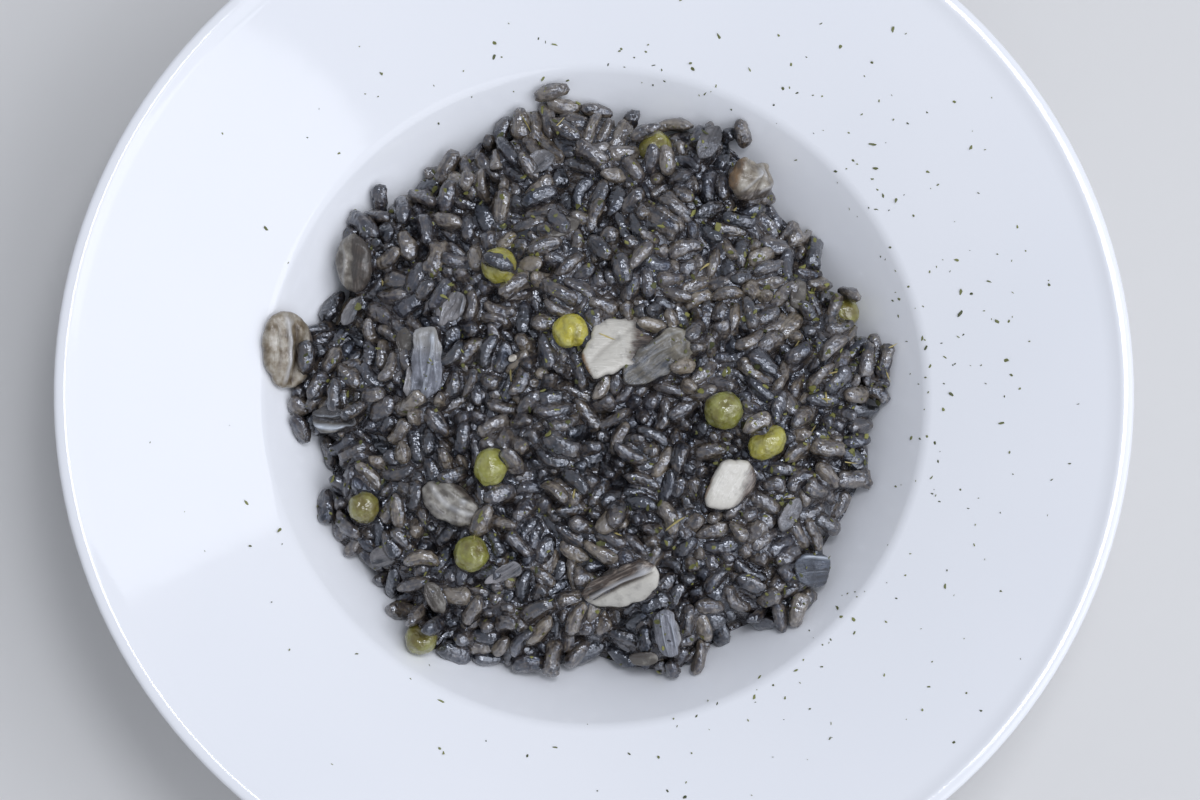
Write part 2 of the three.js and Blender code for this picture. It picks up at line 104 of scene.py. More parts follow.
# Slices lie in the plane of their solid. An outline is reach by degrees round. Edge is how square
# its edge is cut, and wave how far it buckles. Dark and pale are bands across the slice: heading,
# where the band starts and where it is full, from the middle. A ridge is a raised arc: its centre,
# radius, height and width. A rim is a raised edge: heading and height. Ink is how far the broth has
# stained it, veins the heading of its fibres, and hue runs from cold -1 to warm 1.
Slice = namedtuple("Slice", "outline thick edge wave dark pale ridges rim ink veins hue")
NONE = (0, 0, 0)
SLICES = {
    "mushroom_1": Slice(
        {-105: 7.8, -71: 5.8, -18: 8, 20: 11, 45: 12, 60: 11, 82: 8.6, 122: 8.4, 165: 6.9, 203: 9.4, 221: 10,
        239: 11},
        2.8, 9, 0.2, (-5, 0, 7), (200, 8, 9.6), [(-60, -6, 62.2, 0.25, 0.9), (30, -30, 44, -0.3, 0.8)],
        (0, 0), 0.04, 6, -0.25),
    "mushroom_2": Slice(
        {-94: 6.6, -44: 5.2, 4: 6.9, 50: 7.3, 78: 6, 106: 5.8, 140: 4.7, 180: 5.1, 223: 8.4, 242: 7.5},
        3.2, 9, 0.2, (-24, -0.6, 6), (158, 3.9, 5.2), [], (0, 0), 0, 56, -0.4),
    "mushroom_3": Slice(
        {-109: 7.4, -60: 5.9, -11: 7.9, 1: 9.3, 23: 10.4, 41: 10.6, 55: 9.4, 69: 6.7, 103: 4.3, 167: 5.3,
        193: 9.2, 203: 11.2, 225: 9.8},
        3.2, 5, 0.2, (124, 0, 0.8), NONE, [(33, -48.7, 60.2, 1, 0.55), (33, -48.7, 59, -0.9, 0.5),
        (33, -48.7, 61.8, -0.5, 0.6), (5.4, 6.6, 0, 1.3, 1.8)], (0, 0), 0.1, 34, -0.05),
    # The dark band of mushroom_4 is painted shade in the hollow beside its fold.
    "mushroom_4": Slice(
        {-99: 5, -61: 7.2, -34: 8.8, -15: 7.9, 14: 5.4, 65: 4.8, 114: 5.8, 139: 7.3, 158: 7.6, 178: 6.6,
        212: 5.4},
        4.2, 4, 1, (52, 1.4, 4.4), NONE, [(7, 8.5, 12.3, 0.6, 0.9), (7, 8.5, 9.4, 0.25, 0.5),
        (7, 8.5, 14.9, 0.35, 0.6), (3.6, -0.6, 0, 0.7, 1)], (0, 0), 0.5, -34, 0.08),
    "mushroom_5": Slice(
        {-108: 10.4, -79: 10.6, -55: 9.6, -12: 6.6, 39: 7.6, 84: 8.9, 108: 9.2, 130: 8.6, 153: 7.6, 191: 7,
        230: 8.6},
        4.6, 5, 0.9, (-4, 3.4, 6), (180, 6.6, 8.8), [(-40, 0, 39.2, 0.9, 0.7), (-40, 0, 41.4, -0.6, 0.6),
        (-40, 0, 36.6, -0.4, 0.6), (0.4, 6.4, 0, 0.7, 1.1), (0.3, -8.6, 0, -0.8, 0.7)], (0, 0), 0.36, 90,
        0.55),
    "mushroom_6": Slice(
        {-110: 5.6, -64: 5.2, -25: 6.4, 4: 7, 39: 7.2, 70: 4.6, 100: 5.4, 128: 6.4, 160: 5.4, 197: 6.2,
        219: 5.6},
        5, 3, 2.6, (-76, 1.2, 4), (168, 3.2, 5.2), [(-30, 3, 31.2, -0.6, 0.5), (1.6, 1.4, 0, 0.9, 1.6),
        (-20, 14, 24, 0.6, 0.6), (14, -20, 21, 0.6, 0.6)], (0, 0), 0.42, 70, 0.45),
    "mushroom_7": Slice(
        {-83: 7.2, -43: 6, 13: 4.9, 62: 6.8, 91: 8.2, 108: 7.8, 140: 6, 187: 5, 229: 5.8},
        4.2, 4, 0.9, (0, 0.2, 1.4), NONE, [(-30, 0, 28.8, 0.45, 0.5)], (0, 0), 0.56, 84, 0.35),
    "onion_1": Slice(
        {-40: 4, -8: 5, 16: 7.6, 41: 7.2, 63: 6.6, 97: 6.4, 129: 5.2, 158: 6.4, 183: 9.4, 201: 13.4,
        214: 14.6, 228: 11, 245: 6.6, 275: 4.4},
        1.1, 4, 1.3, (40, -3, 3), (55, 3, 9), [(14, -30, 37.4, 0.45, 0.6), (18, -34, 44.4, 0.35, 0.4),
        (10, -26, 29.4, 0.25, 0.4)], (70, 0.4), 0.46, 38, 1),
    "onion_2": Slice(
        {-100: 5.6, -82: 6.4, -62: 6.2, -50: 4.6, 10: 3.2, 55: 3.8, 74: 5.6, 100: 5.8, 126: 5.2, 150: 3.8,
        190: 3, 235: 3.8, 250: 5},
        1.2, 4, 0.7, (10, -1.6, 2.4), (10, 1.8, 4.2), [(44, 8, 43, 0.45, 0.3), (44, 8, 45.6, 0.5, 0.25),
        (-30, -8, 32.6, 0.3, 0.25)], (0, 0.3), 0.44, 100, -0.3),
    "onion_3": Slice(
        {-82: 4.2, -23: 5.4, 6: 5.6, 37: 6.2, 81: 4.2, 147: 4.9, 167: 5.6, 213: 5},
        1.4, 4, 0.8, (90, 0.6, 3), NONE, [(2, -38, 41.4, 1.3, 0.5), (6, -38, 38, 0.3, 0.4)], (90, 0.4), 0.7,
        8, -1),
    "onion_4": Slice(
        {-98: 2.8, -50: 3, -14: 4.5, 12: 4.3, 40: 3.8, 82: 2, 130: 1.8, 183: 2.6, 209: 6, 228: 4.4},
        0.9, 4, 0.2, (210, 1, 4.5), NONE, [], (120, 0.3), 0.3, 30, 0.1),
    "onion_5": Slice(
        {-60: 3.3, -32: 3.7, -5: 6.4, 14: 5.2, 60: 3.2, 107: 3, 153: 4.7, 171: 6.2, 189: 5.9, 222: 5.2,
        256: 3.6},
        1.5, 4, 2.2, (-92, 0.4, 1.6), (-94, 0.8, 1.9), [(0, 20, 22.2, 1.5, 0.6), (0, 20, 20.6, -0.6, 0.4),
        (-3, 20, 19.4, 0.5, 0.4)], (258, 0.9), 0.66, -4, 0.5),
    "onion_6": Slice(
        {-98: 9.6, -75: 8.2, -42: 5.4, -10: 4.2, 20: 4, 60: 6.5, 77: 9.2, 106: 9, 131: 4.9, 175: 3.8,
        209: 4.2, 243: 8},
        1.5, 4, 2, (84, -12, -4), (70, 0, 6), [(-44, 8, 45.6, 0.55, 0.35), (60, 4, 58, 0.4, 0.3),
        (60, 4, 61.4, 0.5, 0.3), (-2, -5, 0, -0.8, 1.2), (1.6, 6, 0, 0.6, 1.2)], (0, 0.4), 0.4, 84, -0.4),
    "onion_7": Slice(
        {-110: 3.4, -60: 3, 0: 3.3, 49: 4.6, 80: 4.6, 110: 4, 145: 4.4, 186: 4.6, 226: 5.6, 245: 4.8},
        1.2, 4, 0.8, (180, -4, 2), NONE, [(-40, 8, 43.4, 0.7, 0.35), (-40, 8, 38.4, 0.35, 0.3)], (40, 0.5),
        0.42, 66, 0.2),
}

# Scraps that no solid stands for: kind, place, length, width, heading, ink.
SCRAPS = [
    ("onion", -46.6, 2.4, 10.5, 2.4, 80, 0.2),
    ("onion", -37.2, 7.6, 3.2, 2.4, 60, -0.5),
    ("mushroom", -20.5, 8, 2.4, 1.7, 30, -0.3),
    ("onion", -1.2, 61.5, 9.5, 2, 150, 0.2),
    ("onion", -14, 60, 8.5, 6, 35, 0.6),
    ("onion", 29.5, 65, 10.5, 5.4, 65, 0.7),
    ("onion", 49.5, -31, 10, 4.5, 55, 0.55),
    ("onion", -62, 22, 9, 4, 62, 0.5),
    ("onion", -53, -41, 8, 5.5, 20, 0.5),
    ("mushroom", -8, 42, 10, 4.6, 25, 0.75),
    ("mushroom", -48, 13, 8, 4.2, 100, 0.8),
    ("mushroom", 52, 26, 9, 4.5, 75, 0.7),
    ("mushroom", 12.5, -67, 8, 4, 10, 0.7),
    ("mushroom", -40, -52, 9, 4.5, 115, 0.7),
]

# Grains that lie over a topping: place and heading.
LAID_GRAINS = [
    (-24.2, 31.9, -22), (40.8, -8.8, 36), (-20.6, -18.4, -60), (-25, -38.6, -62),
    (14.6, 60.6, 84), (18.6, 60.2, 100), (13.2, 67.6, 20), (-40.4, -59.2, 38), (-45, -56.6, 60),
    (61.2, 22.4, 70), (65.4, 26.6, 140), (62.6, 17.8, 20), (60.6, 19, 96),
    (-73.2, 9.6, 84), (-70.4, 2.2, 60), (-62.4, 4.5, 130), (14.6, 16.6, -12), (22.4, 6, 20),
    (25.6, 15.4, 60), (15.6, -53.4, 20), (-45.4, -26.4, 70), (-35.6, -21.6, 15),
    (23.6, -57.4, 80), (13.2, -62.6, 95), (-60.6, -4.2, 30),
    (-35.6, 2.4, 80), (-47.8, 9.6, 100), (-36.4, 13.2, 60), (-31.4, 22, 80),
]
LAID_LENGTH, LAID_ROD = 8.4, 4.4  # of the grain, and of the rod that stands for it

# Each kind of grain: its share of all, length, bend in radians, how far it has burst, and girth.
Kind = namedtuple("Kind", "share length bend burst girth")
KINDS = {
    "rice_whole": Kind(0.34, (7.8, 9.8), (0.05, 0.6), (0, 0.25), 1),
    "rice_curved": Kind(0.24, (8.8, 10.4), (0.8, 2), (0, 0.2), 0.88),
    "rice_burst": Kind(0.28, (7.6, 9.8), (0.1, 1.1), (0.3, 0.9), 1),
    "rice_broken": Kind(0.14, (4.6, 6.6), (0.05, 0.4), (0, 0.5), 0.95),
}
CORE_DEPTH = 9  # of loose grains over the solid core
ROD_RADIUS = 1.85  # pressed grains lie closer than their full width
ROUNDS = 150  # in which the grains settle
SINK = 0.16  # towards the core, in the first round
PART_GRAINS, LEAVE_TOPPING = 0.42, 0.8  # share of an overlap that a round undoes
BARE_SLICE, BARE_PEA = 0.72, 0.65  # share of a topping's reach that no strewn grain may hide
HERB_REACH = 84  # of the herbs on the rice, from the middle
RIM_START, RIM_END = 80, 131  # of the herbs on the china

# Soft lights: radiance, heading and height in degrees, distance, width and height in metres.
LIGHTS = {
    "tall_window": (2.0, 7, 52, 1.5, 0.92, 1.15),
    "wall_bounce": (1.15, -38, 42, 1.7, 2.0, 1.1),
    "ceiling_lamp": (12.0, 50, 76, 1.4, 0.34, 0.38),
}
CAMERA_AIM, CAMERA_LIFT, CAMERA_DISTANCE = Vector((1.52, -4.18, 50)) * MM, 81.5, 1.0

DOWN, ABOVE = Vector((0, 0, -1)), 0.2  # the way of a plumb line and the height it starts from, in metres


# ---- Numbers and surfaces ----

def unit(vectors):
    """Vectors of length one."""
    return vectors / np.maximum(np.linalg.norm(vectors, axis=-1, keepdims=True), 1e-9)


def ease(low, high, value):
    """A smooth step from 0 at low to 1 at high."""
    share = np.clip((value - low) / (high - low), 0, 1)
    return share * share * (3 - 2 * share)


def frames(along, up, roll):
    """Rotation matrices whose columns are along, across and up, rolled about along."""
    across = unit(np.cross(up, along))
    top = np.cross(along, across)
    c, s = np.cos(roll)[:, None], np.sin(roll)[:, None]
    return np.stack([along, c * across + s * top, c * top - s * across], axis=-1)


def axes_on(up):
    """Axes whose Z is up and whose X lies nearest the world's."""
    x = unit(np.array([1.0, 0, 0]) - up * up[0])
    return np.stack([x, np.cross(up, x), up], axis=-1)


def turned(x, y, degrees):
    """Places of a plane as they read along a heading and across it."""
    c, s = math.cos(math.radians(degrees)), math.sin(math.radians(degrees))
    return x * c + y * s, y * c - x * s


def unevenness(x, y, size, layer, octaves=0):
    """Smooth noise over places of a plane, with features of that size. Each layer has its own."""
    spots = [Vector((p / size, q / size, layer)) for p, q in zip(x, y)]
    return np.array([noise.fractal(s, 0.9, 2.0, octaves) if octaves else noise.noise(s) for s in spots])


def four_round(grid, start=0):
    """Sum of the four cells round each cell, on top of a start."""
    return sum((np.roll(grid, step, axis) for axis in (0, 1) for step in (1, -1)), start)


def between_cells(grid, u, v):
    """Values of a grid at places between its cells."""
    i, j = u.astype(int), v.astype(int)
    a, b = u - i, v - j
    return ((1 - a) * (1 - b) * grid[i, j] + a * (1 - b) * grid[i + 1, j]
            + (1 - a) * b * grid[i, j + 1] + a * b * grid[i + 1, j + 1])


def tree_of(piece):
    """A search tree of a piece's faces."""
    mesh = piece.data
    return BVHTree.FromPolygons([v.co for v in mesh.vertices], [p.vertices for p in mesh.polygons])


def first_hit(trees, x, y):
    """Place (m) and normal where a plumb line at x and y first meets some pieces, or None."""
    start = Vector((x * MM, y * MM, ABOVE))
    hits = [hit for hit in (tree.ray_cast(start, DOWN) for tree in trees) if hit[0]]
    return min(hits, key=lambda hit: hit[3])[:2] if hits else None


# ---- The china's section ----

def down(slope, length):
    """A step of that length, square to a face of that slope, outwards and down."""
    return np.array([math.sin(slope), -math.cos(slope)]) * length


def plate_bends():
    """Centre, radius, first slope, last slope and steps of the three bends of the eating face."""
    lip_slope, rim_slope, wall_slope = map(math.radians, (LIP_SLOPE, RIM_SLOPE, WALL_SLOPE))
    half = WALL / 2
    lip = np.array([RADIUS - half, HEIGHT - half]) - down(lip_slope, LIP_BEND + half)
    rim_end = lip + down(rim_slope, LIP_BEND)
    rim_start = np.array([WELL_RADIUS, rim_end[1] - (rim_end[0] - WELL_RADIUS) * math.tan(rim_slope)])
    well = rim_start + down(rim_slope, WELL_BEND)
    wall_end = well + down(wall_slope, -WELL_BEND)
    wall_start = down(wall_slope, FLOOR_BEND) + np.array([0, FLOOR_LEVEL + FLOOR_BEND])
    floor_radius = wall_end[0] - wall_start[0] - (wall_end[1] - wall_start[1]) / math.tan(wall_slope)
    floor = np.array([floor_radius, FLOOR_LEVEL + FLOOR_BEND])
    return [
        (floor, FLOOR_BEND, 0, wall_slope, 14),
        (well, -WELL_BEND, wall_slope, rim_slope, 12),
        (lip, LIP_BEND, rim_slope, lip_slope, 8),
    ]


def plate_face(depth):
    """Points of the section that lie a given depth under the eating face."""
    return [
        centre + down(first + (last - first) * i / steps, radius + depth)
        for centre, radius, first, last, steps in plate_bends()
        for i in range(steps + 1)
    ]


def plate_section():
    """The whole section, from the middle of the floor out over the edge and back under the foot."""
    half, turns = WALL / 2, 20
    middle = np.array([RADIUS - half, HEIGHT - half])
    edge = []
    for i in range(1, turns):
        angle = math.radians(LIP_SLOPE) + math.pi / 2 - math.pi * i / turns
        way = np.array([math.cos(angle), math.sin(angle)])
        edge.append(middle + half * (np.sqrt(way) if way.min() > 0 else way))  # squarer at its upper corner
    under = FLOOR_LEVEL - WALL
    foot = [
        (FOOT_OUTER + FOOT_DRAFT + 1, under), (FOOT_OUTER + FOOT_DRAFT, under - 0.8),
        (FOOT_OUTER, FOOT_ROUND), (FOOT_OUTER - 0.35, 0.35), (FOOT_OUTER - FOOT_ROUND, 0),
        (FOOT_INNER + FOOT_ROUND, 0), (FOOT_INNER + 0.35, 0.35), (FOOT_INNER, FOOT_ROUND),
        (FOOT_INNER - FOOT_DRAFT, under - 0.8), (FOOT_INNER - FOOT_DRAFT - 1, under), (0, under),
    ]
    return [(0, FLOOR_LEVEL), *plate_face(0), *edge, *reversed(plate_face(WALL)), *foot]


FACE = np.array([(0, FLOOR_LEVEL), *plate_face(0)])


def plate_level(distance):
    """Height of the eating face at a distance from the middle."""
    return np.interp(distance, FACE[:, 0], FACE[:, 1])


def plate_slope(distance):
    """Rise of the eating face per mm outwards."""
    return plate_level(distance + 0.5) - plate_level(distance - 0.5)


# ---- The heap, as the solids give it ----

class Heap:
    """Height of the open rice over a square grid, with the toppings' pockets filled in."""

    CELL, HALF = 1.5, 96
    EDGE_LEVEL = 1.4  # of rice over the china, where the heap ends
    GROW, FILL, SOFTEN = 2, 160, 6  # rounds of widening the pockets, filling them and smoothing the slopes

    def __init__(self):
        self.places = np.arange(-self.HALF, self.HALF + self.CELL / 2, self.CELL)
        x, y = np.meshgrid(self.places, self.places, indexing="ij")
        china = plate_level(np.hypot(x, y))
        filled = china.copy()
        hidden = np.zeros(china.shape, bool)
        rice = [tree_of(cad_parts["risotto"])]
        covers = [tree_of(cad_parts[node]) for node in (*PEAS, *SLICES)]
        for cell in np.ndindex(china.shape):
            hit = first_hit(rice, x[cell], y[cell])
            if hit:
                filled[cell] = hit[0].z / MM
            hidden[cell] = first_hit(covers, x[cell], y[cell]) is not None
        for _ in range(self.GROW):
            hidden = four_round(1 * hidden, hidden) > 0
        for _ in range(self.FILL):
            filled[hidden] = (four_round(filled) / 4)[hidden]
        self.heights = soft = np.maximum(filled, china)
        for _ in range(self.SOFTEN):
            soft = four_round(soft, soft) / 5
        self.slopes = np.gradient(soft, self.CELL)
        self.turns = np.radians(np.arange(0, 361, 3))
        self.reaches = np.array([self._edge(a) for a in self.turns])

    def _edge(self, angle):
        for distance in np.arange(92, 55, -0.5):
            level = self.level(distance * math.cos(angle), distance * math.sin(angle))
            if level - plate_level(distance) > self.EDGE_LEVEL:
                return distance
        raise ValueError("the heap has no edge")

    def _sample(self, grid, x, y):
        u, v = (np.clip((np.asarray(p) + self.HALF) / self.CELL, 0, len(self.places) - 1.001) for p in (x, y))
        return between_cells(grid, u, v)

    def level(self, x, y):
        return self._sample(self.heights, x, y)

    def normal(self, x, y):
        gx, gy = (self._sample(g, x, y) for g in self.slopes)
        return unit(np.stack([-gx, -gy, np.ones_like(gx)], axis=-1))

    def reach(self, x, y):
        return np.interp(np.arctan2(y, x) % (2 * math.pi), self.turns, self.reaches)


HEAPS = []


def scene_heap():
    """The heap's heights, measured once."""
    if not HEAPS:
        HEAPS.append(Heap())
    return HEAPS[0]


def core_level(heap, x, y):
    """Top of the core: under the grains, but never down to the china."""
    return np.maximum(heap.level(x, y) - CORE_DEPTH, plate_level(np.hypot(x, y)) + 0.4)


def pea_place(node):
    """Middle and radius of a pea."""
    low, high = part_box(node)
    return np.array((low + high) / 2) / MM, (high.z - low.z) / 2 / MM


def slice_frame(node):
    """Middle and axes of a slice's solid: X and Y in its plane, X nearest the world's, Z out of the rice."""
    points = np.array([v.co[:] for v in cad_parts[node].data.vertices]) / MM
    points = np.unique(np.round(points, 3), axis=0)
    _, axes = np.linalg.eigh(np.cov((points - points.mean(0)).T))
    return (points.max(0) + points.min(0)) / 2, axes_on(axes[:, 0] * np.sign(axes[2, 0]))


def slice_reach(outline, angle):
    """Reach of an outline at an angle, on a smooth closed line through its rows."""
    rows = sorted((a % 360, r) for a, r in outline.items())
    turns = np.array([a for a, _ in rows])
    reaches = np.array([r for _, r in rows], float)
    degrees = np.degrees(angle) % 360
    k = np.searchsorted(turns, degrees, side="right") - 1
    first, last = k % len(rows), (k + 1) % len(rows)
    share = ((degrees - turns[first]) % 360) / ((turns[last] - turns[first]) % 360)
    share = 0.5 * share + 0.5 * share * share * (3 - 2 * share)
    return reaches[first] * (1 - share) + reaches[last] * share


# ---- Packing the grains, each as a rod with round ends ----

def topping_balls():
    """Middles and radii of balls that fill the toppings, for the grains to lie against."""
    middles, radii = [], []
    for node in PEAS:
        middle, radius = pea_place(node)
        middles.append(middle[None])
        radii.append([radius])
    places = np.arange(-12, 12.1, 2)  # over the widest slice
    u, v = (g.ravel() for g in np.meshgrid(places, places))
    for node, spec in SLICES.items():
        middle, axes = slice_frame(node)
        inside = np.hypot(u, v) < slice_reach(spec.outline, np.arctan2(v, u)) - 2
        middles.append(middle + np.stack([u, v, 0 * u], axis=-1)[inside] @ axes.T)
        radii.append(np.full(inside.sum(), spec.thick / 2 + 0.4))
    return np.concatenate(middles), np.concatenate(radii)


def covers_topping(ends):
    """True for each rod that would hide a topping from above."""
    middle = ends.mean(1)
    hides = np.zeros(len(ends), bool)
    for node, spec in SLICES.items():
        centre, axes = slice_frame(node)
        x, y, z = ((middle - centre) @ axes).T
        hides |= (np.hypot(x, y) < slice_reach(spec.outline, np.arctan2(y, x)) * BARE_SLICE) & (z > -0.5)
    for node in PEAS:
        centre, radius = pea_place(node)
        hides |= (np.hypot(*(middle - centre)[:, :2].T) < radius * BARE_PEA) & (middle[:, 2] > centre[2])
    return hides


def point_on(rods, share):
    """The places at some shares of the way along rods."""
    return rods[:, 0] + (rods[:, 1] - rods[:, 0]) * share[:, None]


def nearest_on_rods(rods, points):
    """Share along each rod of the place nearest a point."""
    along = rods[:, 1] - rods[:, 0]
    return np.clip(((points - rods[:, 0]) * along).sum(1) / (along * along).sum(1), 0, 1)


def nearest_pairs(a, b):
    """Shares along two rows of rods where they come nearest each other."""
    p, q = a[:, 0], b[:, 0]
    d, e = a[:, 1] - p, b[:, 1] - q
    r = p - q
    dd, ee, de = (d * d).sum(1), (e * e).sum(1), (d * e).sum(1)
    dr, er = (d * r).sum(1), (e * r).sum(1)
    s = np.clip((de * er - dr * ee) / np.maximum(dd * ee - de * de, 1e-6), 0, 1)
    t = (de * s + er) / ee
    s = np.where(t < 0, np.clip(-dr / dd, 0, 1), np.where(t > 1, np.clip((de - dr) / dd, 0, 1), s))
    return s, np.clip(t, 0, 1)


def close_pairs(rows, columns, limit):
    """True where a row's place lies nearer a column's than a limit."""
    away = rows.astype(np.float32)[:, None, :] - columns.astype(np.float32)[None, :, :]
    return (away ** 2).sum(-1) < limit ** 2


def parting(gap, reach, firmness):
    """Moves that widen gaps, for the depth by which they fall short of a reach."""
    distance = np.linalg.norm(gap, axis=1)
    depth = np.maximum(0, reach - distance)
    return gap / np.maximum(distance, 1e-3)[:, None] * (firmness * depth)[:, None]


def moves_of_ends(count, index, move, share):
    """Moves of both ends of all rods, from the moves that places along some of them ask for."""
    weight = (1 - share) ** 2 + share ** 2
    both = np.stack([move * ((1 - share) / weight)[:, None], move * (share / weight)[:, None]], axis=1)
    flat = both.reshape(len(index), 6)
    return np.stack([np.bincount(index, flat[:, k], count) for k in range(6)], axis=1).reshape(count, 2, 3)


def settle(heap, ends, lengths, fixed, balls, radii, offsets):
    """Let rods press onto the core and against each other until they lie clear."""
    count = len(ends)
    free = ~fixed[:, None, None]
    half = (lengths / 2)[:, None, None]
    pair_limit = lengths.max() + 2 * ROD_RADIUS + 0.6
    ball_limit = lengths.max() / 2 + ROD_RADIUS + radii.max() + 0.6
    for turn in range(ROUNDS):
        if turn % 5 == 0:
            middles = ends.mean(1)
            first, second = np.nonzero(np.triu(close_pairs(middles, middles, pair_limit), 1))
            rod, ball = np.nonzero(close_pairs(middles, balls, ball_limit))
        pull = SINK * max(0.0, 1 - turn / (ROUNDS * 0.8))
        normals = heap.normal(ends[..., 0], ends[..., 1])
        moves = -pull * normals.mean(1, keepdims=True).repeat(2, 1)
        s, t = nearest_pairs(ends[first], ends[second])
        gap = point_on(ends[first], s) - ends[second, 0] - (ends[second, 1] - ends[second, 0]) * t[:, None]
        push = parting(gap, 2 * ROD_RADIUS, PART_GRAINS)
        moves += moves_of_ends(count, first, push, s)
        moves -= moves_of_ends(count, second, push, t)
        share = nearest_on_rods(ends[rod], balls[ball])
        gap = point_on(ends[rod], share) - balls[ball]
        push = parting(gap, ROD_RADIUS + radii[ball], LEAVE_TOPPING)
        moves += moves_of_ends(count, rod, push, share)
        ends = ends + np.where(free, moves, 0)
        ends = np.where(free, hold_inside(heap, ends, normals, offsets), ends)
        middle = ends.mean(1, keepdims=True)
        along = unit(ends[:, 1] - ends[:, 0])[:, None, :]
        ends = np.concatenate([middle - along * half, middle + along * half], axis=1)
    return ends


def hold_inside(heap, ends, normals, offsets):
    """Keep both ends of each rod over the core and the china, under the heap's skin and within its edge."""
    x, y, z = ends[..., 0], ends[..., 1], ends[..., 2]
    distance = np.hypot(x, y)
    limit = heap.reach(x, y) + offsets[:, None] - ROD_RADIUS
    pull_in = np.minimum(1, limit / np.maximum(distance, 1e-3))
    x, y, distance = x * pull_in, y * pull_in, distance * pull_in
    lean = np.maximum(normals[..., 2], 0.45)
    china = plate_level(distance) + (ROD_RADIUS + 0.15) * np.sqrt(1 + plate_slope(distance) ** 2)
    skin = heap.level(x, y) + (offsets[:, None] - ROD_RADIUS) / lean
    floor = np.maximum(china, core_level(heap, x, y) + ROD_RADIUS * 0.9 / lean)
    z = np.maximum(np.minimum(z, np.maximum(skin, china + 0.2)), floor)
    return np.stack([x, y, z], axis=-1)


def clumps(x, y):
    """Where the grains bunch up, above 0, and where they fall away, below it."""
    return unevenness(x, y, 12, 0.37) + 0.4 * unevenness(x, y, 5, 0.73)


def strew_rods(heap, rng, lengths):
    """Rods scattered evenly through the loose layer, most of them lying along the heap."""
    count = len(lengths)
    x, y = (g.ravel() for g in np.meshgrid(heap.places, heap.places, indexing="ij"))
    inside = np.hypot(x, y) < heap.reach(x, y) - 1.5
    x, y = x[inside], y[inside]
    normals = heap.normal(x, y)
    thick = np.clip(heap.level(x, y) - plate_level(np.hypot(x, y)), 1.5, CORE_DEPTH)
    weight = thick / np.maximum(normals[:, 2], 0.5) * np.clip(1 + 1.2 * clumps(x, y), 0.4, 1.6)
    pick = rng.choice(len(x), count, p=weight / weight.sum())
    spot = np.stack([x[pick], y[pick]], axis=-1) + rng.uniform(-0.75, 0.75, (count, 2))
    normal = heap.normal(*spot.T)
    depth = rng.uniform(0.2, 1, count) * thick[pick]
    middle = np.column_stack([spot, heap.level(*spot.T)]) - normal * depth[:, None]
    heading = rng.uniform(0, 2 * math.pi, count)
    flat = unit(np.cross(normal, np.column_stack([np.cos(heading), np.sin(heading), np.zeros(count)])))
    lean = rng.normal(0, 0.65, count)[:, None]
    along = unit(flat * np.cos(lean) + normal * np.sin(lean))
    half = (lengths / 2)[:, None]
    return np.stack([middle - along * half, middle + along * half], axis=1)


def laid_rods(heap, balls, radii):
    """Rods for the grains that lie over a topping, each end let down until it rests."""
    rods = []
    for x, y, heading in LAID_GRAINS:
        turn = math.radians(heading)
        half = np.array([math.cos(turn), math.sin(turn)]) * LAID_ROD / 2
        spots = np.array([[x, y] - half, [x, y], [x, y] + half])
        away = np.hypot(*(spots[:, None, :] - balls[None, :, :2]).transpose(2, 0, 1))
        touch = (radii + ROD_RADIUS * 0.85)[None] ** 2 - away ** 2
        over = np.where(touch > 0, balls[None, :, 2] + np.sqrt(np.maximum(touch, 0)), -99).max(1)
        rest = np.maximum(over, heap.level(*spots.T) - 1.2)
        rest[[0, 2]] += max(0, rest[1] - (rest[0] + rest[2]) / 2)
        rods.append(np.column_stack([spots[[0, 2]], rest[[0, 2]]]))
    return np.array(rods)


def grain_shapes(points, half, bend, burst, rng):
    """Cooked grains from ball points: blunt ends, grooves along them, a crescent bend and burst ends."""
    count = len(half)
    x, y, z = points.T
    round_of = np.arctan2(z, y)
    blunt = np.sqrt(np.clip(1 - np.abs(x) ** 2.6, 0, 1)) / np.maximum(np.hypot(y, z), 1e-3)
    phase = rng.uniform(0, 2 * math.pi, (4, count, 1))
    taper = 1 + rng.uniform(-0.22, 0.22, (count, 1)) * x
    grooves = 1 + (0.07 * np.cos(3 * round_of + phase[0]) + 0.05 * np.cos(4 * round_of + phase[1])
                   + 0.05 * np.cos(2 * round_of + 3 * x + phase[3])) * (1 - x * x)
    lobes = 0.45 + 0.55 * np.cos(2 * round_of + phase[2])
    flare = 1 + burst[:, None] * ease(0.3, 1, np.abs(x)) * lobes
    lumps = 1
    for _ in range(5):
        waves = np.einsum("kj,nj->nk", points, rng.normal(0, 3.2, (count, 3)))
        lumps = lumps + 0.08 * np.cos(waves + rng.uniform(0, 6.3, (count, 1)))
    swell = blunt * taper * grooves * flare * lumps
    along = x * half[:, :1] * (1 + 0.22 * burst[:, None] * lobes)
    across = y * half[:, 1:2] * swell
    over = z * half[:, 2:3] * swell
    curve = np.maximum(bend, 0.04)[:, None] / (2 * half[:, :1])
    arc, way = 1 / curve - across, along * curve
    sag = (1 - np.cos(bend / 2))[:, None] / curve * 0.5
    return np.stack([arc * np.sin(way), 1 / curve - arc * np.cos(way) - sag, over], axis=-1)


# ---- Meshes ----

def link_piece(name, mesh, material, nodes=()):
    """Put a finished mesh in the scene as one piece of the plate."""
    mesh.materials.append(material)
    piece = bpy.data.objects.new(name, mesh)
    bpy.context.collection.objects.link(piece)
    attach(piece, "root")
    if nodes:
        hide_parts(*nodes)
    return piece


def mesh_of(bm, name):
    """Close a bmesh into a smooth mesh."""
    mesh = bpy.data.meshes.new(name)
    bm.to_mesh(mesh)
    bm.free()
    mesh.shade_smooth()
    return mesh


def shape_of(bm):
    """Close a bmesh into its points and faces."""
    points = np.array([v.co[:] for v in bm.verts])
    faces = [[v.index for v in f.verts] for f in bm.faces]
    bm.free()
    return points, faces


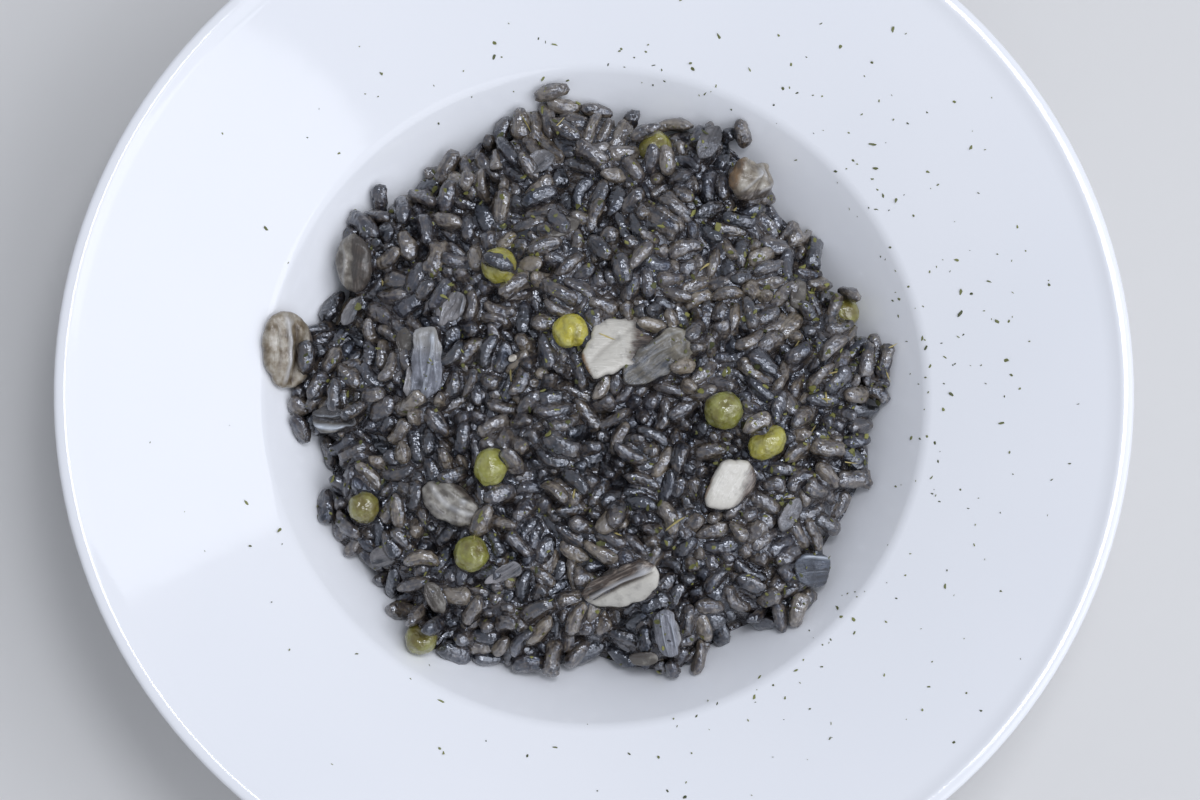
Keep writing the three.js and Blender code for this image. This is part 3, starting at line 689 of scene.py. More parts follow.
def joined_mesh(name, faces, turns, shapes, middles, **attributes):
    """One mesh of many shapes with the same faces, each turned and set down at its middle."""
    points = np.einsum("nij,nkj->nki", turns, shapes) + middles[:, None, :]
    copies, corners, _ = points.shape
    all_faces = [[corner + copy * corners for corner in face] for copy in range(copies) for face in faces]
    mesh = bpy.data.meshes.new(name)
    mesh.from_pydata(points.reshape(-1, 3) * MM, [], all_faces)
    store(mesh, **attributes)
    return mesh


def store(mesh, **attributes):
    """Keep numbers or vectors for every vertex as attributes."""
    for key, values in attributes.items():
        values = np.asarray(values, np.float32)
        vectors = values.size == 3 * len(mesh.vertices)
        layer = mesh.attributes.new(key, "FLOAT_VECTOR" if vectors else "FLOAT", "POINT")
        layer.data.foreach_set("vector" if vectors else "value", values.ravel())


# ---- Materials ----

SHEEN = (0.64, 0.76, 1.0, 1.0)  # tint of the light that the wet film throws back
MIX_A, MIX_B, MIX_OUT = 6, 7, 2  # colour sockets of the Mix node


def linear(hex_colour):
    """Turn an sRGB hex colour into the linear RGBA that shaders take."""
    channels = [int(hex_colour[i:i + 2], 16) / 255 for i in (1, 3, 5)]
    light = [c / 12.92 if c <= 0.04045 else ((c + 0.055) / 1.055) ** 2.4 for c in channels]
    return (*light, 1.0)


def per_mm(size):
    """Scale of a pattern on Object coordinates whose features are size millimetres."""
    return 1 / (size * MM)


def add_node(tree, kind, inputs=None, stops=(), **settings):
    """Add a shader node with its settings, ramp stops and inputs.

    An input is a value, a hex colour, an output of another node, or a node for its first output."""
    made = tree.nodes.new(f"ShaderNode{kind}")
    for key, value in settings.items():
        setattr(made, key, value)
    for _ in stops[2:]:
        made.color_ramp.elements.new(1)
    for index, (place, colour) in enumerate(stops):
        made.color_ramp.elements[index].position = place
        made.color_ramp.elements[index].color = linear(colour) if isinstance(colour, str) else colour
    for key, value in (inputs or {}).items():
        if isinstance(value, bpy.types.Node):
            value = value.outputs[0]
        if isinstance(value, bpy.types.NodeSocket):
            tree.links.new(value, made.inputs[key])
        else:
            made.inputs[key].default_value = linear(value) if isinstance(value, str) else value
    return made


def new_material(name):
    """An empty node material and its tree."""
    material = bpy.data.materials.new(name)
    material.use_nodes = True
    material.node_tree.nodes.clear()
    return material, material.node_tree


def finish_material(tree, **shader):
    """Close a material with one glossy shader. Underscores in names stand for spaces."""
    inputs = {key.replace("_", " "): value for key, value in shader.items()}
    surface = add_node(tree, "BsdfPrincipled", inputs)
    add_node(tree, "OutputMaterial", {"Surface": surface})


def porcelain(colour):
    """Feldspathic porcelain under a clear glaze, with a bare foot ring.

    The glaze gives it a hard mirror over a cool white body, faintly uneven."""
    material, tree = new_material("glazed_porcelain")
    place = add_node(tree, "TexCoord").outputs["Object"]
    drift = add_node(tree, "TexNoise", {"Vector": place, "Scale": per_mm(60)})
    body = add_node(tree, "Mix", {0: drift, MIX_A: colour, MIX_B: "#ebedf1"}, data_type="RGBA")
    height = add_node(tree, "SeparateXYZ", {0: place}).outputs["Z"]
    bare = add_node(tree, "MapRange", {"Value": height, "From Min": 1 * MM, "From Max": 0.7 * MM})
    biscuit = add_node(tree, "Mix", {0: bare, MIX_A: body.outputs[MIX_OUT], MIX_B: "#d9d2c4"},
                       data_type="RGBA")
    rough = add_node(tree, "MapRange", {"Value": bare, "To Min": 0.07, "To Max": 0.7})
    peel = add_node(tree, "TexNoise", {"Vector": place, "Scale": per_mm(14), "Detail": 1})
    bump = add_node(tree, "Bump", {"Height": peel, "Strength": 0.12, "Distance": 0.4 * MM})
    finish_material(tree, Base_Color=biscuit.outputs[MIX_OUT], Roughness=rough, IOR=1.52, Normal=bump)
    return material


def ink_sauce():
    """Squid-ink broth bound with starch: dark, wet and lumpy, with paler starch in it."""
    material, tree = new_material("squid_ink_sauce")
    place = add_node(tree, "TexCoord").outputs["Object"]
    lumps = add_node(tree, "TexNoise", {"Vector": place, "Scale": per_mm(1.1), "Detail": 1})
    cloud = add_node(tree, "TexNoise", {"Vector": place, "Scale": per_mm(3.5), "Detail": 3})
    colour = add_node(tree, "ValToRGB", {0: cloud},
                      stops=[(0.36, "#131011"), (0.5, "#2b2523"), (0.66, "#4a4139")])
    bump = add_node(tree, "Bump", {"Height": lumps, "Distance": 0.5 * MM})
    finish_material(tree, Base_Color=colour, Roughness=0.24, IOR=1.6, Normal=bump, Specular_Tint=SHEEN,
                    Coat_Weight=0.6, Coat_IOR=1.8, Coat_Roughness=0.06, Coat_Normal=bump)
    return material


def inked_rice(ink, starch):
    """Cooked short-grain rice dyed by squid ink: brownish starch with ink in its grooves, under a wet film.

    Streaks run along each grain. The film is bumpy and breaks the window into small bluish glints."""
    material, tree = new_material("inked_rice")
    place = add_node(tree, "TexCoord").outputs["Object"]
    grain = add_node(tree, "Attribute", attribute_name="grain").outputs["Vector"]
    tone = add_node(tree, "Attribute", attribute_name="tone").outputs["Fac"]
    stretched = add_node(tree, "Mapping", {"Vector": grain, "Scale": (0.9, 3.6, 3.6)})
    streaks = add_node(tree, "TexNoise", {"Vector": stretched, "Scale": 1, "Detail": 3, "Roughness": 0.6})
    blotches = add_node(tree, "TexNoise", {"Vector": place, "Scale": per_mm(1.8), "Detail": 3})
    depth = add_node(tree, "Math", {0: streaks, 1: blotches}, operation="ADD")
    patches = add_node(tree, "TexNoise", {"Vector": place, "Scale": per_mm(14)})
    # tone: each grain's random tone, with painted shade darkening the deeper grains.
    toned = add_node(tree, "Math", {0: depth, 1: tone}, operation="ADD")
    shade = add_node(tree, "Math", {0: patches, 1: 0.8, 2: toned}, operation="MULTIPLY_ADD")
    spread = add_node(tree, "MapRange", {"Value": shade, "From Min": 1.46, "From Max": 2.3})
    colour = add_node(tree, "ValToRGB", {0: spread},
                      stops=[(0, ink), (0.3, "#292320"), (0.62, starch), (1, "#8e826f")])
    # Blue-grey patches in the base colour: partly the blue-black of the ink, partly painted sheen for the
    # bluish gloss over wet groups of grains.
    cool = add_node(tree, "MapRange", {"Value": patches, "From Min": 0.45, "From Max": 0.62, "To Max": 0.3})
    tinted = add_node(tree, "Mix", {0: cool, MIX_A: colour, MIX_B: "#42434e"}, data_type="RGBA")
    lumps = add_node(tree, "TexNoise", {"Vector": place, "Scale": per_mm(1), "Detail": 0.6})
    relief = add_node(tree, "Bump", {"Height": streaks, "Distance": 0.14 * MM})
    film = add_node(tree, "Bump", {"Height": lumps, "Distance": 0.4 * MM, "Normal": relief})
    pools = add_node(tree, "TexNoise", {"Vector": place, "Scale": per_mm(5)})
    wet = add_node(tree, "MapRange", {"Value": pools, "From Min": 0.3, "From Max": 0.5})
    finish_material(tree, Base_Color=tinted.outputs[MIX_OUT], Roughness=0.3, IOR=1.75, Specular_Tint=SHEEN,
                    Normal=film, Coat_Weight=wet, Coat_IOR=1.9, Coat_Roughness=0.05, Coat_Normal=film)
    return material


def pea_skin(olive, yellow):
    """Stewed garden peas: a thin waxy skin, clouded, stained by the broth, with painted shade darkening its
    dents.
    """
    material, tree = new_material("stewed_pea_skin")
    place = add_node(tree, "TexCoord").outputs["Object"]
    tone = add_node(tree, "Attribute", attribute_name="tone").outputs["Fac"]
    ink = add_node(tree, "Attribute", attribute_name="ink").outputs["Fac"]
    green = add_node(tree, "Mix", {0: tone, MIX_A: olive, MIX_B: yellow}, data_type="RGBA")
    cloud = add_node(tree, "TexNoise", {"Vector": place, "Scale": per_mm(2.6), "Detail": 4})
    pale = add_node(tree, "MapRange", {"Value": cloud, "From Min": 0.42, "From Max": 0.72, "To Max": 0.6})
    skin = add_node(tree, "Mix", {0: pale, MIX_A: green.outputs[MIX_OUT], MIX_B: "#b4b478"},
                    data_type="RGBA")
    spots = add_node(tree, "TexNoise", {"Vector": place, "Scale": per_mm(3), "Detail": 5, "Roughness": 0.6})
    # The ink attribute holds the broth's stain and the painted shade of the dents.
    soak = add_node(tree, "Math", {0: spots, 1: ink}, operation="ADD")
    stain = add_node(tree, "MapRange", {"Value": soak, "From Min": 0.6, "From Max": 1, "To Max": 0.75})
    colour = add_node(tree, "Mix", {0: stain, MIX_A: skin.outputs[MIX_OUT], MIX_B: "#57451f"},
                      data_type="RGBA")
    fine = add_node(tree, "TexNoise", {"Vector": place, "Scale": per_mm(1), "Detail": 1})
    bump = add_node(tree, "Bump", {"Height": fine, "Distance": 0.28 * MM})
    finish_material(tree, Base_Color=colour.outputs[MIX_OUT], Roughness=0.3, IOR=1.5, Normal=bump,
                    Coat_Weight=0.7, Coat_IOR=1.7, Coat_Roughness=0.08, Coat_Normal=bump)
    return material


def slice_patterns(tree, stretch, roughness):
    """What all slices show: fibres along them, clouds of 2.5 mm, the two together, and the three zones."""
    flat = add_node(tree, "Attribute", attribute_name="face").outputs["Vector"]
    stretched = add_node(tree, "Mapping", {"Vector": flat, "Scale": stretch})
    fibre = add_node(tree, "TexNoise", {"Vector": stretched, "Scale": 1, "Detail": 4, "Roughness": roughness})
    cloud = add_node(tree, "TexNoise", {"Vector": flat, "Scale": 1 / 2.5, "Detail": 4})
    both = add_node(tree, "Math", {0: cloud, 1: fibre}, operation="ADD")
    zone = add_node(tree, "Attribute", attribute_name="zone").outputs["Vector"]
    return fibre, cloud, both, add_node(tree, "SeparateXYZ", {0: zone}).outputs


def crest_highlight_and_groove_shade(tree, colour, light, dark):
    """A slice's colour with painted highlight along its raised lines and painted shade in its grooves."""
    crest = add_node(tree, "Attribute", attribute_name="crest").outputs["Fac"]
    # Paler towards the crests as painted highlight, darker in the grooves as painted shade.
    high = add_node(tree, "MapRange", {"Value": crest, "From Min": 0.15, "From Max": 1, "To Max": 0.75})
    low = add_node(tree, "MapRange", {"Value": crest, "From Min": -0.1, "From Max": -0.8, "To Max": 0.85})
    raised = add_node(tree, "Mix", {0: high, MIX_A: colour, MIX_B: light}, data_type="RGBA")
    sunk = add_node(tree, "Mix", {0: low, MIX_A: raised.outputs[MIX_OUT], MIX_B: dark}, data_type="RGBA")
    return sunk.outputs[MIX_OUT]


def mushroom_flesh(flesh, gill, skin):
    """Stewed button mushroom: smooth cream flesh, fine brown gills at one side and tan skin at the other."""
    material, tree = new_material("stewed_mushroom")
    fibre, cloud, ragged, zones = slice_patterns(tree, (0.2, 1.7, 1), 0.6)
    uneven = add_node(tree, "Math", {0: ragged, 1: -1}, operation="ADD")
    gills = add_node(tree, "Math", {0: uneven, 1: 0.9, 2: zones["X"]}, operation="MULTIPLY_ADD")
    skins = add_node(tree, "Math", {0: uneven, 1: 0.9, 2: zones["Y"]}, operation="MULTIPLY_ADD")
    # The gill band is the gills' own colour, but on mushroom_4 it is painted shade in its fold.
    in_gills = add_node(tree, "MapRange", {"Value": gills, "From Min": 0.32, "From Max": 0.85})
    in_skin = add_node(tree, "MapRange", {"Value": skins, "From Min": 0.32, "From Max": 0.9})
    leaves = add_node(tree, "ValToRGB", {0: fibre},
                      stops=[(0.36, "#2b2420"), (0.52, gill), (0.68, "#9a9086")])
    pulp = add_node(tree, "ValToRGB", {0: ragged},
                    stops=[(0.34, "#b5ab98"), (0.42, "#d0cabc"), (0.5, flesh)])
    hue = add_node(tree, "Attribute", attribute_name="hue").outputs["Fac"]
    patchy = add_node(tree, "Math", {0: cloud, 1: 4, 2: -1}, operation="MULTIPLY_ADD")
    mottle = add_node(tree, "Math", {0: patchy, 1: hue}, operation="MULTIPLY")
    tan = add_node(tree, "Mix", {0: mottle, MIX_A: pulp, MIX_B: "#9b8257"}, data_type="RGBA")
    with_skin = add_node(tree, "Mix", {0: in_skin, MIX_A: tan.outputs[MIX_OUT], MIX_B: skin},
                         data_type="RGBA")
    with_gills = add_node(tree, "Mix", {0: in_gills, MIX_A: with_skin.outputs[MIX_OUT], MIX_B: leaves},
                          data_type="RGBA")
    soak = add_node(tree, "Math", {0: cloud, 1: zones["Z"]}, operation="ADD")
    stain = add_node(tree, "MapRange", {"Value": soak, "From Min": 0.6, "From Max": 1.15, "To Max": 0.9})
    stained = add_node(tree, "Mix", {0: stain, MIX_A: with_gills.outputs[MIX_OUT], MIX_B: "#423d38"},
                       data_type="RGBA")
    # Grey painted highlight on the crests and dark brown painted shade in the grooves.
    colour = crest_highlight_and_groove_shade(tree, stained.outputs[MIX_OUT], "#c3c4c6", "#3f3026")
    bump = add_node(tree, "Bump", {"Height": ragged, "Strength": 0.8, "Distance": 0.3 * MM})
    finish_material(tree, Base_Color=colour, Roughness=0.34, IOR=1.45, Normal=bump, Coat_Weight=0.6,
                    Coat_Roughness=0.08, Coat_Normal=bump)
    return material


def onion_leaf(pale, inked):
    """Stewed onion, leek and squid: glassy layers with fine veins along them, greyed by the ink."""
    material, tree = new_material("stewed_onion")
    _, cloud, mixed, zones = slice_patterns(tree, (0.14, 1.5, 0.5), 0.62)
    lifted = add_node(tree, "Math", {0: zones["X"], 1: 0.32, 2: mixed}, operation="MULTIPLY_ADD")
    hue = add_node(tree, "Attribute", attribute_name="hue").outputs["Fac"]
    warmth = add_node(tree, "MapRange", {"Value": hue, "From Min": -1, "From Max": 1})
    light = add_node(tree, "ValToRGB", {0: warmth}, stops=[(0, "#8e9bb0"), (0.5, pale), (1, "#a39a84")])
    shown = add_node(tree, "MapRange", {"Value": lifted, "From Min": 0.78, "From Max": 1.24})
    drawn = add_node(tree, "Mix", {0: shown, MIX_A: inked, MIX_B: light}, data_type="RGBA")
    creamed = add_node(tree, "Math", {0: zones["Y"], 1: cloud}, operation="MULTIPLY")
    cream = add_node(tree, "Mix", {0: creamed, MIX_A: drawn.outputs[MIX_OUT], MIX_B: "#e2dccb"},
                     data_type="RGBA")
    soak = add_node(tree, "Math", {0: cloud, 1: zones["Z"]}, operation="ADD")
    stain = add_node(tree, "MapRange", {"Value": soak, "From Min": 0.5, "From Max": 1.25, "To Max": 0.85})
    stained = add_node(tree, "Mix", {0: stain, MIX_A: cream.outputs[MIX_OUT], MIX_B: "#302d2c"},
                       data_type="RGBA")
    # Bluish painted highlight on the crests and near-black painted shade in the grooves.
    colour = crest_highlight_and_groove_shade(tree, stained.outputs[MIX_OUT], "#ccd3dc", "#2c2a2c")
    bump = add_node(tree, "Bump", {"Height": mixed, "Distance": 0.45 * MM})
    finish_material(tree, Base_Color=colour, Roughness=0.25, IOR=1.5, Specular_Tint=SHEEN, Normal=bump,
                    Coat_Weight=0.6, Coat_IOR=1.6, Coat_Roughness=0.06, Coat_Normal=bump)
    return material


def dried_herb(name, dark, light):
    """Dried crumbled leaf: dull, veined and uneven in colour from flake to flake."""
    material, tree = new_material(name)
    place = add_node(tree, "TexCoord").outputs["Object"]
    tone = add_node(tree, "Attribute", attribute_name="tone").outputs["Fac"]
    crumb = add_node(tree, "TexNoise", {"Vector": place, "Scale": per_mm(0.5)})
    shade = add_node(tree, "Math", {0: crumb, 1: 0.5, 2: tone}, operation="MULTIPLY_ADD")
    spread = add_node(tree, "MapRange", {"Value": shade, "From Min": 0.15, "From Max": 1.25})
    colour = add_node(tree, "Mix", {0: spread, MIX_A: dark, MIX_B: light}, data_type="RGBA")
    bump = add_node(tree, "Bump", {"Height": crumb, "Strength": 0.5, "Distance": 0.2 * MM})
    finish_material(tree, Base_Color=colour.outputs[MIX_OUT], Roughness=0.6, Normal=bump)
    return material


def studio_floor(colour):
    """Matt painted board, with the faintest roll of the brush."""
    material, tree = new_material("painted_board")
    place = add_node(tree, "TexCoord").outputs["Object"]
    roll = add_node(tree, "TexNoise", {"Vector": place, "Scale": per_mm(3)})
    bump = add_node(tree, "Bump", {"Height": roll, "Strength": 0.05, "Distance": 0.2 * MM})
    finish_material(tree, Base_Color=colour, Roughness=0.85, Normal=bump)
    return material


# ---- Settings ----

def colour_setting(name, description, hex_colour):
    return bpy.props.FloatVectorProperty(
        name=name, description=description, subtype="COLOR", size=4, min=0, max=1, default=linear(hex_colour))


def length_setting(name, description, millimetres):
    return bpy.props.FloatProperty(
        name=name, description=description, default=millimetres * MM, min=0, subtype="DISTANCE",
        unit="LENGTH", precision=4)


def count_setting(name, description, default, least=0):
    return bpy.props.IntProperty(name=name, description=description, default=default, min=least)


def plain_setting(name, description, default, least=0):
    return bpy.props.FloatProperty(name=name, description=description, default=default, min=least)


class PlateSettings(bpy.types.PropertyGroup):
    glaze: colour_setting("Glaze", "Colour of the glazed china", "#f1f2f5")
    steps: count_setting("Steps", "Facets round the plate", 144, 24)


class RiceSettings(bpy.types.PropertyGroup):
    grains: count_setting("Grains", "Loose grains on the core", 1240, 1)
    width: length_setting("Width", "Width of a cooked grain", 4.45)
    thickness: length_setting("Thickness", "Thickness of a cooked grain", 3.85)
    ink: colour_setting("Ink", "Colour of the ink in the grooves", "#0f0d0d")
    starch: colour_setting("Starch", "Colour of the dyed starch", "#564b3e")
    seed: count_setting("Seed", "Start of the random lay of the grains", 7)


class ToppingSettings(bpy.types.PropertyGroup):
    olive: colour_setting("Olive", "Colour of the greenest pea", "#79803a")
    yellow: colour_setting("Yellow", "Colour of the yellowest pea", "#bdb23c")
    flesh: colour_setting("Flesh", "Colour of the mushroom's flesh", "#c7c3b9")
    gill: colour_setting("Gills", "Colour of the mushroom's gills", "#5d5047")
    skin: colour_setting("Skin", "Colour of the mushroom's skin", "#8a6b45")
    leaf: colour_setting("Onion", "Colour of the onion between its veins", "#b2afb2")
    veins: colour_setting("Veins", "Colour of the inked veins", "#3a3b3e")


class HerbSettings(bpy.types.PropertyGroup):
    on_rim: count_setting("On the rim", "Flakes on the china", 300)
    on_rice: count_setting("On the rice", "Flakes on the rice", 900)
    stems: count_setting("Stems", "Bits of straw-coloured stem on the rice", 24)
    leaf_dark: colour_setting("Dark", "Colour of the darkest flake on the rim", "#3a4128")
    leaf_light: colour_setting("Light", "Colour of the lightest flake on the rim", "#868a52")
    seed: count_setting("Seed", "Start of the random lay of the flakes", 11)


class StageSettings(bpy.types.PropertyGroup):
    floor: colour_setting("Floor", "Colour of the floor", "#d9d8d6")
    window: plain_setting("Window", "Strength of the lamps and window", 1)
    fill: plain_setting("Fill", "Strength of the light all round", 0.5)
    lens: plain_setting("Lens", "Focal length in millimetres", 120.3, 1)


# ---- Operators ----

class RISOTTO_OT_plate(bpy.types.Operator):
    """Turn the china plate"""
    bl_idname = "risotto.plate"
    bl_label = "Plate"

    def execute(self, context):
        settings = context.scene.risotto_plate
        bm = bmesh.new()
        row = [bm.verts.new((radius * MM, 0, level * MM)) for radius, level in plate_section()]
        edges = [bm.edges.new(pair) for pair in zip(row, row[1:])]
        bmesh.ops.spin(bm, geom=row + edges, cent=(0, 0, 0), axis=(0, 0, 1), angle=2 * math.pi,
                       steps=settings.steps, use_merge=True)
        bmesh.ops.remove_doubles(bm, verts=bm.verts, dist=0.01 * MM)
        bmesh.ops.recalc_face_normals(bm, faces=bm.faces)
        mesh = mesh_of(bm, "china_plate")
        link_piece("china_plate", mesh, porcelain(settings.glaze), ["plate"])
        return {"FINISHED"}


class RISOTTO_OT_rice(bpy.types.Operator):
    """Pack the loose grains over the core, one piece for each kind of grain"""
    bl_idname = "risotto.rice"
    bl_label = "Rice"

    def execute(self, context):
        settings = context.scene.risotto_rice
        heap = scene_heap()
        rng = np.random.default_rng(settings.seed)
        count, laid = settings.grains, len(LAID_GRAINS)
        kinds = rng.choice(len(KINDS), count, p=[kind.share for kind in KINDS.values()])
        spans = np.array([kind.length for kind in KINDS.values()])
        lengths = rng.uniform(*spans[kinds].T)
        rods = np.maximum(lengths - 2 * ROD_RADIUS - 0.6, 0.8)
        ends = strew_rods(heap, rng, rods)
        balls, radii = topping_balls()
        ends = np.concatenate([ends, laid_rods(heap, balls, radii)])
        rods = np.append(rods, np.full(laid, LAID_ROD))
        kinds = np.append(kinds, np.zeros(laid, int))
        lengths = np.append(lengths, np.full(laid, LAID_LENGTH))
        fixed = np.arange(len(ends)) >= count
        offsets = 8 * clumps(*ends.mean(1).T[:2]) + rng.triangular(-4.5, -0.5, 2.8, len(ends))
        ends = settle(heap, ends, rods, fixed, balls, radii, offsets)
        keep = ~covers_topping(ends) | fixed
        material = inked_rice(settings.ink, settings.starch)
        for index, name in enumerate(KINDS):
            chosen = keep & (kinds == index)
            mesh = self.grain_mesh(name, heap, ends[chosen], lengths[chosen], settings, rng)
            link_piece(name, mesh, material)
        return {"FINISHED"}

    def grain_mesh(self, name, heap, ends, lengths, settings, rng):
        """Shape and place the grains of one kind."""
        kind = KINDS[name]
        count = len(ends)
        bm = bmesh.new()
        bmesh.ops.create_uvsphere(bm, u_segments=12, v_segments=8, radius=1)
        bmesh.ops.rotate(bm, verts=bm.verts, matrix=Matrix.Rotation(math.pi / 2, 3, "Y"))
        points, faces = shape_of(bm)
        width, thick = (size / MM / 2 * kind.girth for size in (settings.width, settings.thickness))
        half = np.column_stack([
            lengths / 2, width * rng.uniform(0.76, 1.16, count), thick * rng.uniform(0.8, 1.14, count)])
        bend, burst = rng.uniform(*kind.bend, count), rng.uniform(*kind.burst, count)
        shapes = grain_shapes(points, half, bend, burst, rng)
        middle = ends.mean(1)
        up = heap.normal(*middle.T[:2])
        roll = rng.normal(0, 0.6, count) + math.pi * rng.integers(0, 2, count)
        turns = frames(unit(ends[:, 1] - ends[:, 0]), up, roll)
        depth = (heap.level(*middle.T[:2]) - middle[:, 2]) * up[:, 2]
        # Random tone, darkened for grains lying deeper under the heap's skin: painted shade from the grains
        # over them.
        tone = rng.normal(0.46, 0.17, count) - 0.03 * np.clip(depth - 2, 0, 6)
        grain = points[None] + rng.uniform(-40, 40, (count, 1, 3))
        tones = np.repeat(tone, len(points))
        mesh = joined_mesh(name, faces, turns, shapes, middle, grain=grain, tone=tones)
        mesh.shade_smooth()
        return mesh


class RISOTTO_OT_peas(bpy.types.Operator):
    """Shape the peas, with their dents and wrinkles"""
    bl_idname = "risotto.peas"
    bl_label = "Peas"

    def execute(self, context):
        settings = context.scene.risotto_toppings
        material = pea_skin(settings.olive, settings.yellow)
        for number, (node, spec) in enumerate(PEAS.items()):
            middle, radius = pea_place(node)
            ink_and_dent_shade = []
            long, wide, heading = spec.squash
            turn = Matrix.Rotation(math.radians(heading), 3, "Z")
            squash = turn @ Matrix.Diagonal((long, wide, min(long, wide))) @ turn.inverted()
            bm = bmesh.new()
            bmesh.ops.create_uvsphere(bm, u_segments=48, v_segments=32, radius=1)
            for vert in bm.verts:
                way = vert.co.copy()
                wrinkle = 0.09 * noise.noise(way * 1.7 + Vector((number * 7, 0, 0)))
                fold = 0.03 * noise.noise(way * 5 + Vector((0, number * 5, 0)))
                dent = sum(
                    depth * math.exp(-((way.x - dx) ** 2 + (way.y - dy) ** 2) / width ** 2)
                    for dx, dy, depth, width in spec.dents if way.z > -0.2)
                size = radius * (0.985 + wrinkle + fold) - dent
                vert.co = (Vector(middle) + squash @ (way * size)) * MM
                # The broth's stain, plus painted shade that darkens each dent.
                ink_and_dent_shade.append(spec.ink * 0.5 + 0.22 * max(0, min(dent, 1)))
            mesh = mesh_of(bm, f"{node}_skin")
            store(mesh, tone=np.full(len(ink_and_dent_shade), spec.tone), ink=ink_and_dent_shade)
            link_piece(f"{node}_skin", mesh, material, [node])
        return {"FINISHED"}


def slice_mesh(name, spec, number, middle, axes):
    """A slice pressed from a ball to its outline, with its ridges, rim, buckles and small unevenness."""
    bm = bmesh.new()
    bmesh.ops.create_uvsphere(bm, u_segments=80, v_segments=44, radius=1)
    way = np.array([v.co[:] for v in bm.verts])
    angle = np.arctan2(way[:, 1], way[:, 0])
    share = np.clip(np.hypot(way[:, 0], way[:, 1]), 0, 1)
    spread = 0.4 * share + 0.6 * (2 / math.pi) * np.arcsin(share)
    ring = np.cos(angle), np.sin(angle)
    ragged = (1 + 0.04 * unevenness(*ring, 1 / 2.2, number * 3.7)
              + 0.03 * unevenness(*ring, 1 / 6, number * 5.1))
    x, y = (slice_reach(spec.outline, angle) * ragged * spread * side for side in ring)
    top = way[:, 2] > -0.05
    crest = np.zeros(len(x))
    for cx, cy, radius, height, width in spec.ridges:
        off = (np.hypot(x - cx, y - cy) - radius) / width
        crest += np.where(top, height * np.exp(-off * off) * (1 - spread ** 6), 0)
    heading, rise = spec.rim
    facing = np.maximum(0, np.cos(angle - math.radians(heading))) ** 1.5
    rough = (0.05 + 0.1 * spec.wave) * unevenness(x, y, 2, number * 4.5, octaves=3) * (1 - spread ** 8)
    z = (np.sign(way[:, 2]) * np.sqrt(1 - spread ** spec.edge) * spec.thick / 2
         + spec.wave * unevenness(x, y, 4.2, number * 4 / 4.2) + crest
         + rise * facing * ease(0.6, 0.95, spread) + np.where(top, rough, 0))
    for vert, place in zip(bm.verts, middle + np.column_stack([x, y, z]) @ axes.T):
        vert.co = Vector(place) * MM
    mesh = mesh_of(bm, name)

    def band(heading, start, full):
        return ease(start, full, turned(x, y, heading)[0]) if full > start else np.zeros(len(x))

    store(mesh, crest=crest, hue=np.full(len(x), spec.hue),
          face=np.column_stack([*turned(x, y, spec.veins), z]) + number * 21.7,
          zone=np.column_stack([band(*spec.dark), band(*spec.pale), np.full(len(x), spec.ink)]))
    return mesh


def lay_slices(kind, material):
    """The slices of one kind: those that stand for a solid, then the scraps of that kind."""
    for number, node in enumerate(node for node in SLICES if node.startswith(kind)):
        mesh = slice_mesh(f"{node}_slice", SLICES[node], number, *slice_frame(node))
        link_piece(f"{node}_slice", mesh, material, [node])
    heap = scene_heap()
    for number, (scrap, x, y, length, width, heading, ink) in enumerate(SCRAPS):
        if scrap != kind:
            continue
        turns = np.arange(0, 360, 30)
        away = np.radians(turns - heading)
        oval = 1 / np.sqrt((np.cos(away) / (length / 2)) ** 2 + (np.sin(away) / (width / 2)) ** 2)
        spec = Slice(dict(zip(turns, oval)), 1.2, 4, 1, (heading + 90, -1, 1.5), NONE,
                     [], (heading + 90, 0.5), ink, heading, 0.2)
        middle = np.array([x, y, float(heap.level(x, y)) - 0.2])
        name = f"{kind}_scrap_{number + 1}"
        mesh = slice_mesh(name, spec, number + 30, middle, axes_on(heap.normal(x, y)))
        link_piece(name, mesh, material)


class RISOTTO_OT_mushrooms(bpy.types.Operator):
    """Shape the slices of mushroom"""
    bl_idname = "risotto.mushrooms"
    bl_label = "Mushrooms"

    def execute(self, context):
        settings = context.scene.risotto_toppings
        lay_slices("mushroom", mushroom_flesh(settings.flesh, settings.gill, settings.skin))
        return {"FINISHED"}


class RISOTTO_OT_onions(bpy.types.Operator):
    """Shape the strips and leaves of onion"""
    bl_idname = "risotto.onions"
    bl_label = "Onions"

    def execute(self, context):
        settings = context.scene.risotto_toppings
        lay_slices("onion", onion_leaf(settings.leaf, settings.veins))
        return {"FINISHED"}


def food_pieces(*starts):
    """The pieces made so far whose names start in one of some ways."""
    return [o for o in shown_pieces() if o.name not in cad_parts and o.name.startswith(starts)]


def spread_over(grid, cells, pick):
    """The least or greatest of a grid's values within a round neighbourhood."""
    best = grid.copy()
    reach = math.ceil(cells)
    for i in range(-reach, reach + 1):
        for j in range(-reach, reach + 1):
            if 0 < i * i + j * j <= cells * cells:
                best = pick(best, np.roll(grid, (i, j), (0, 1)))
    return best


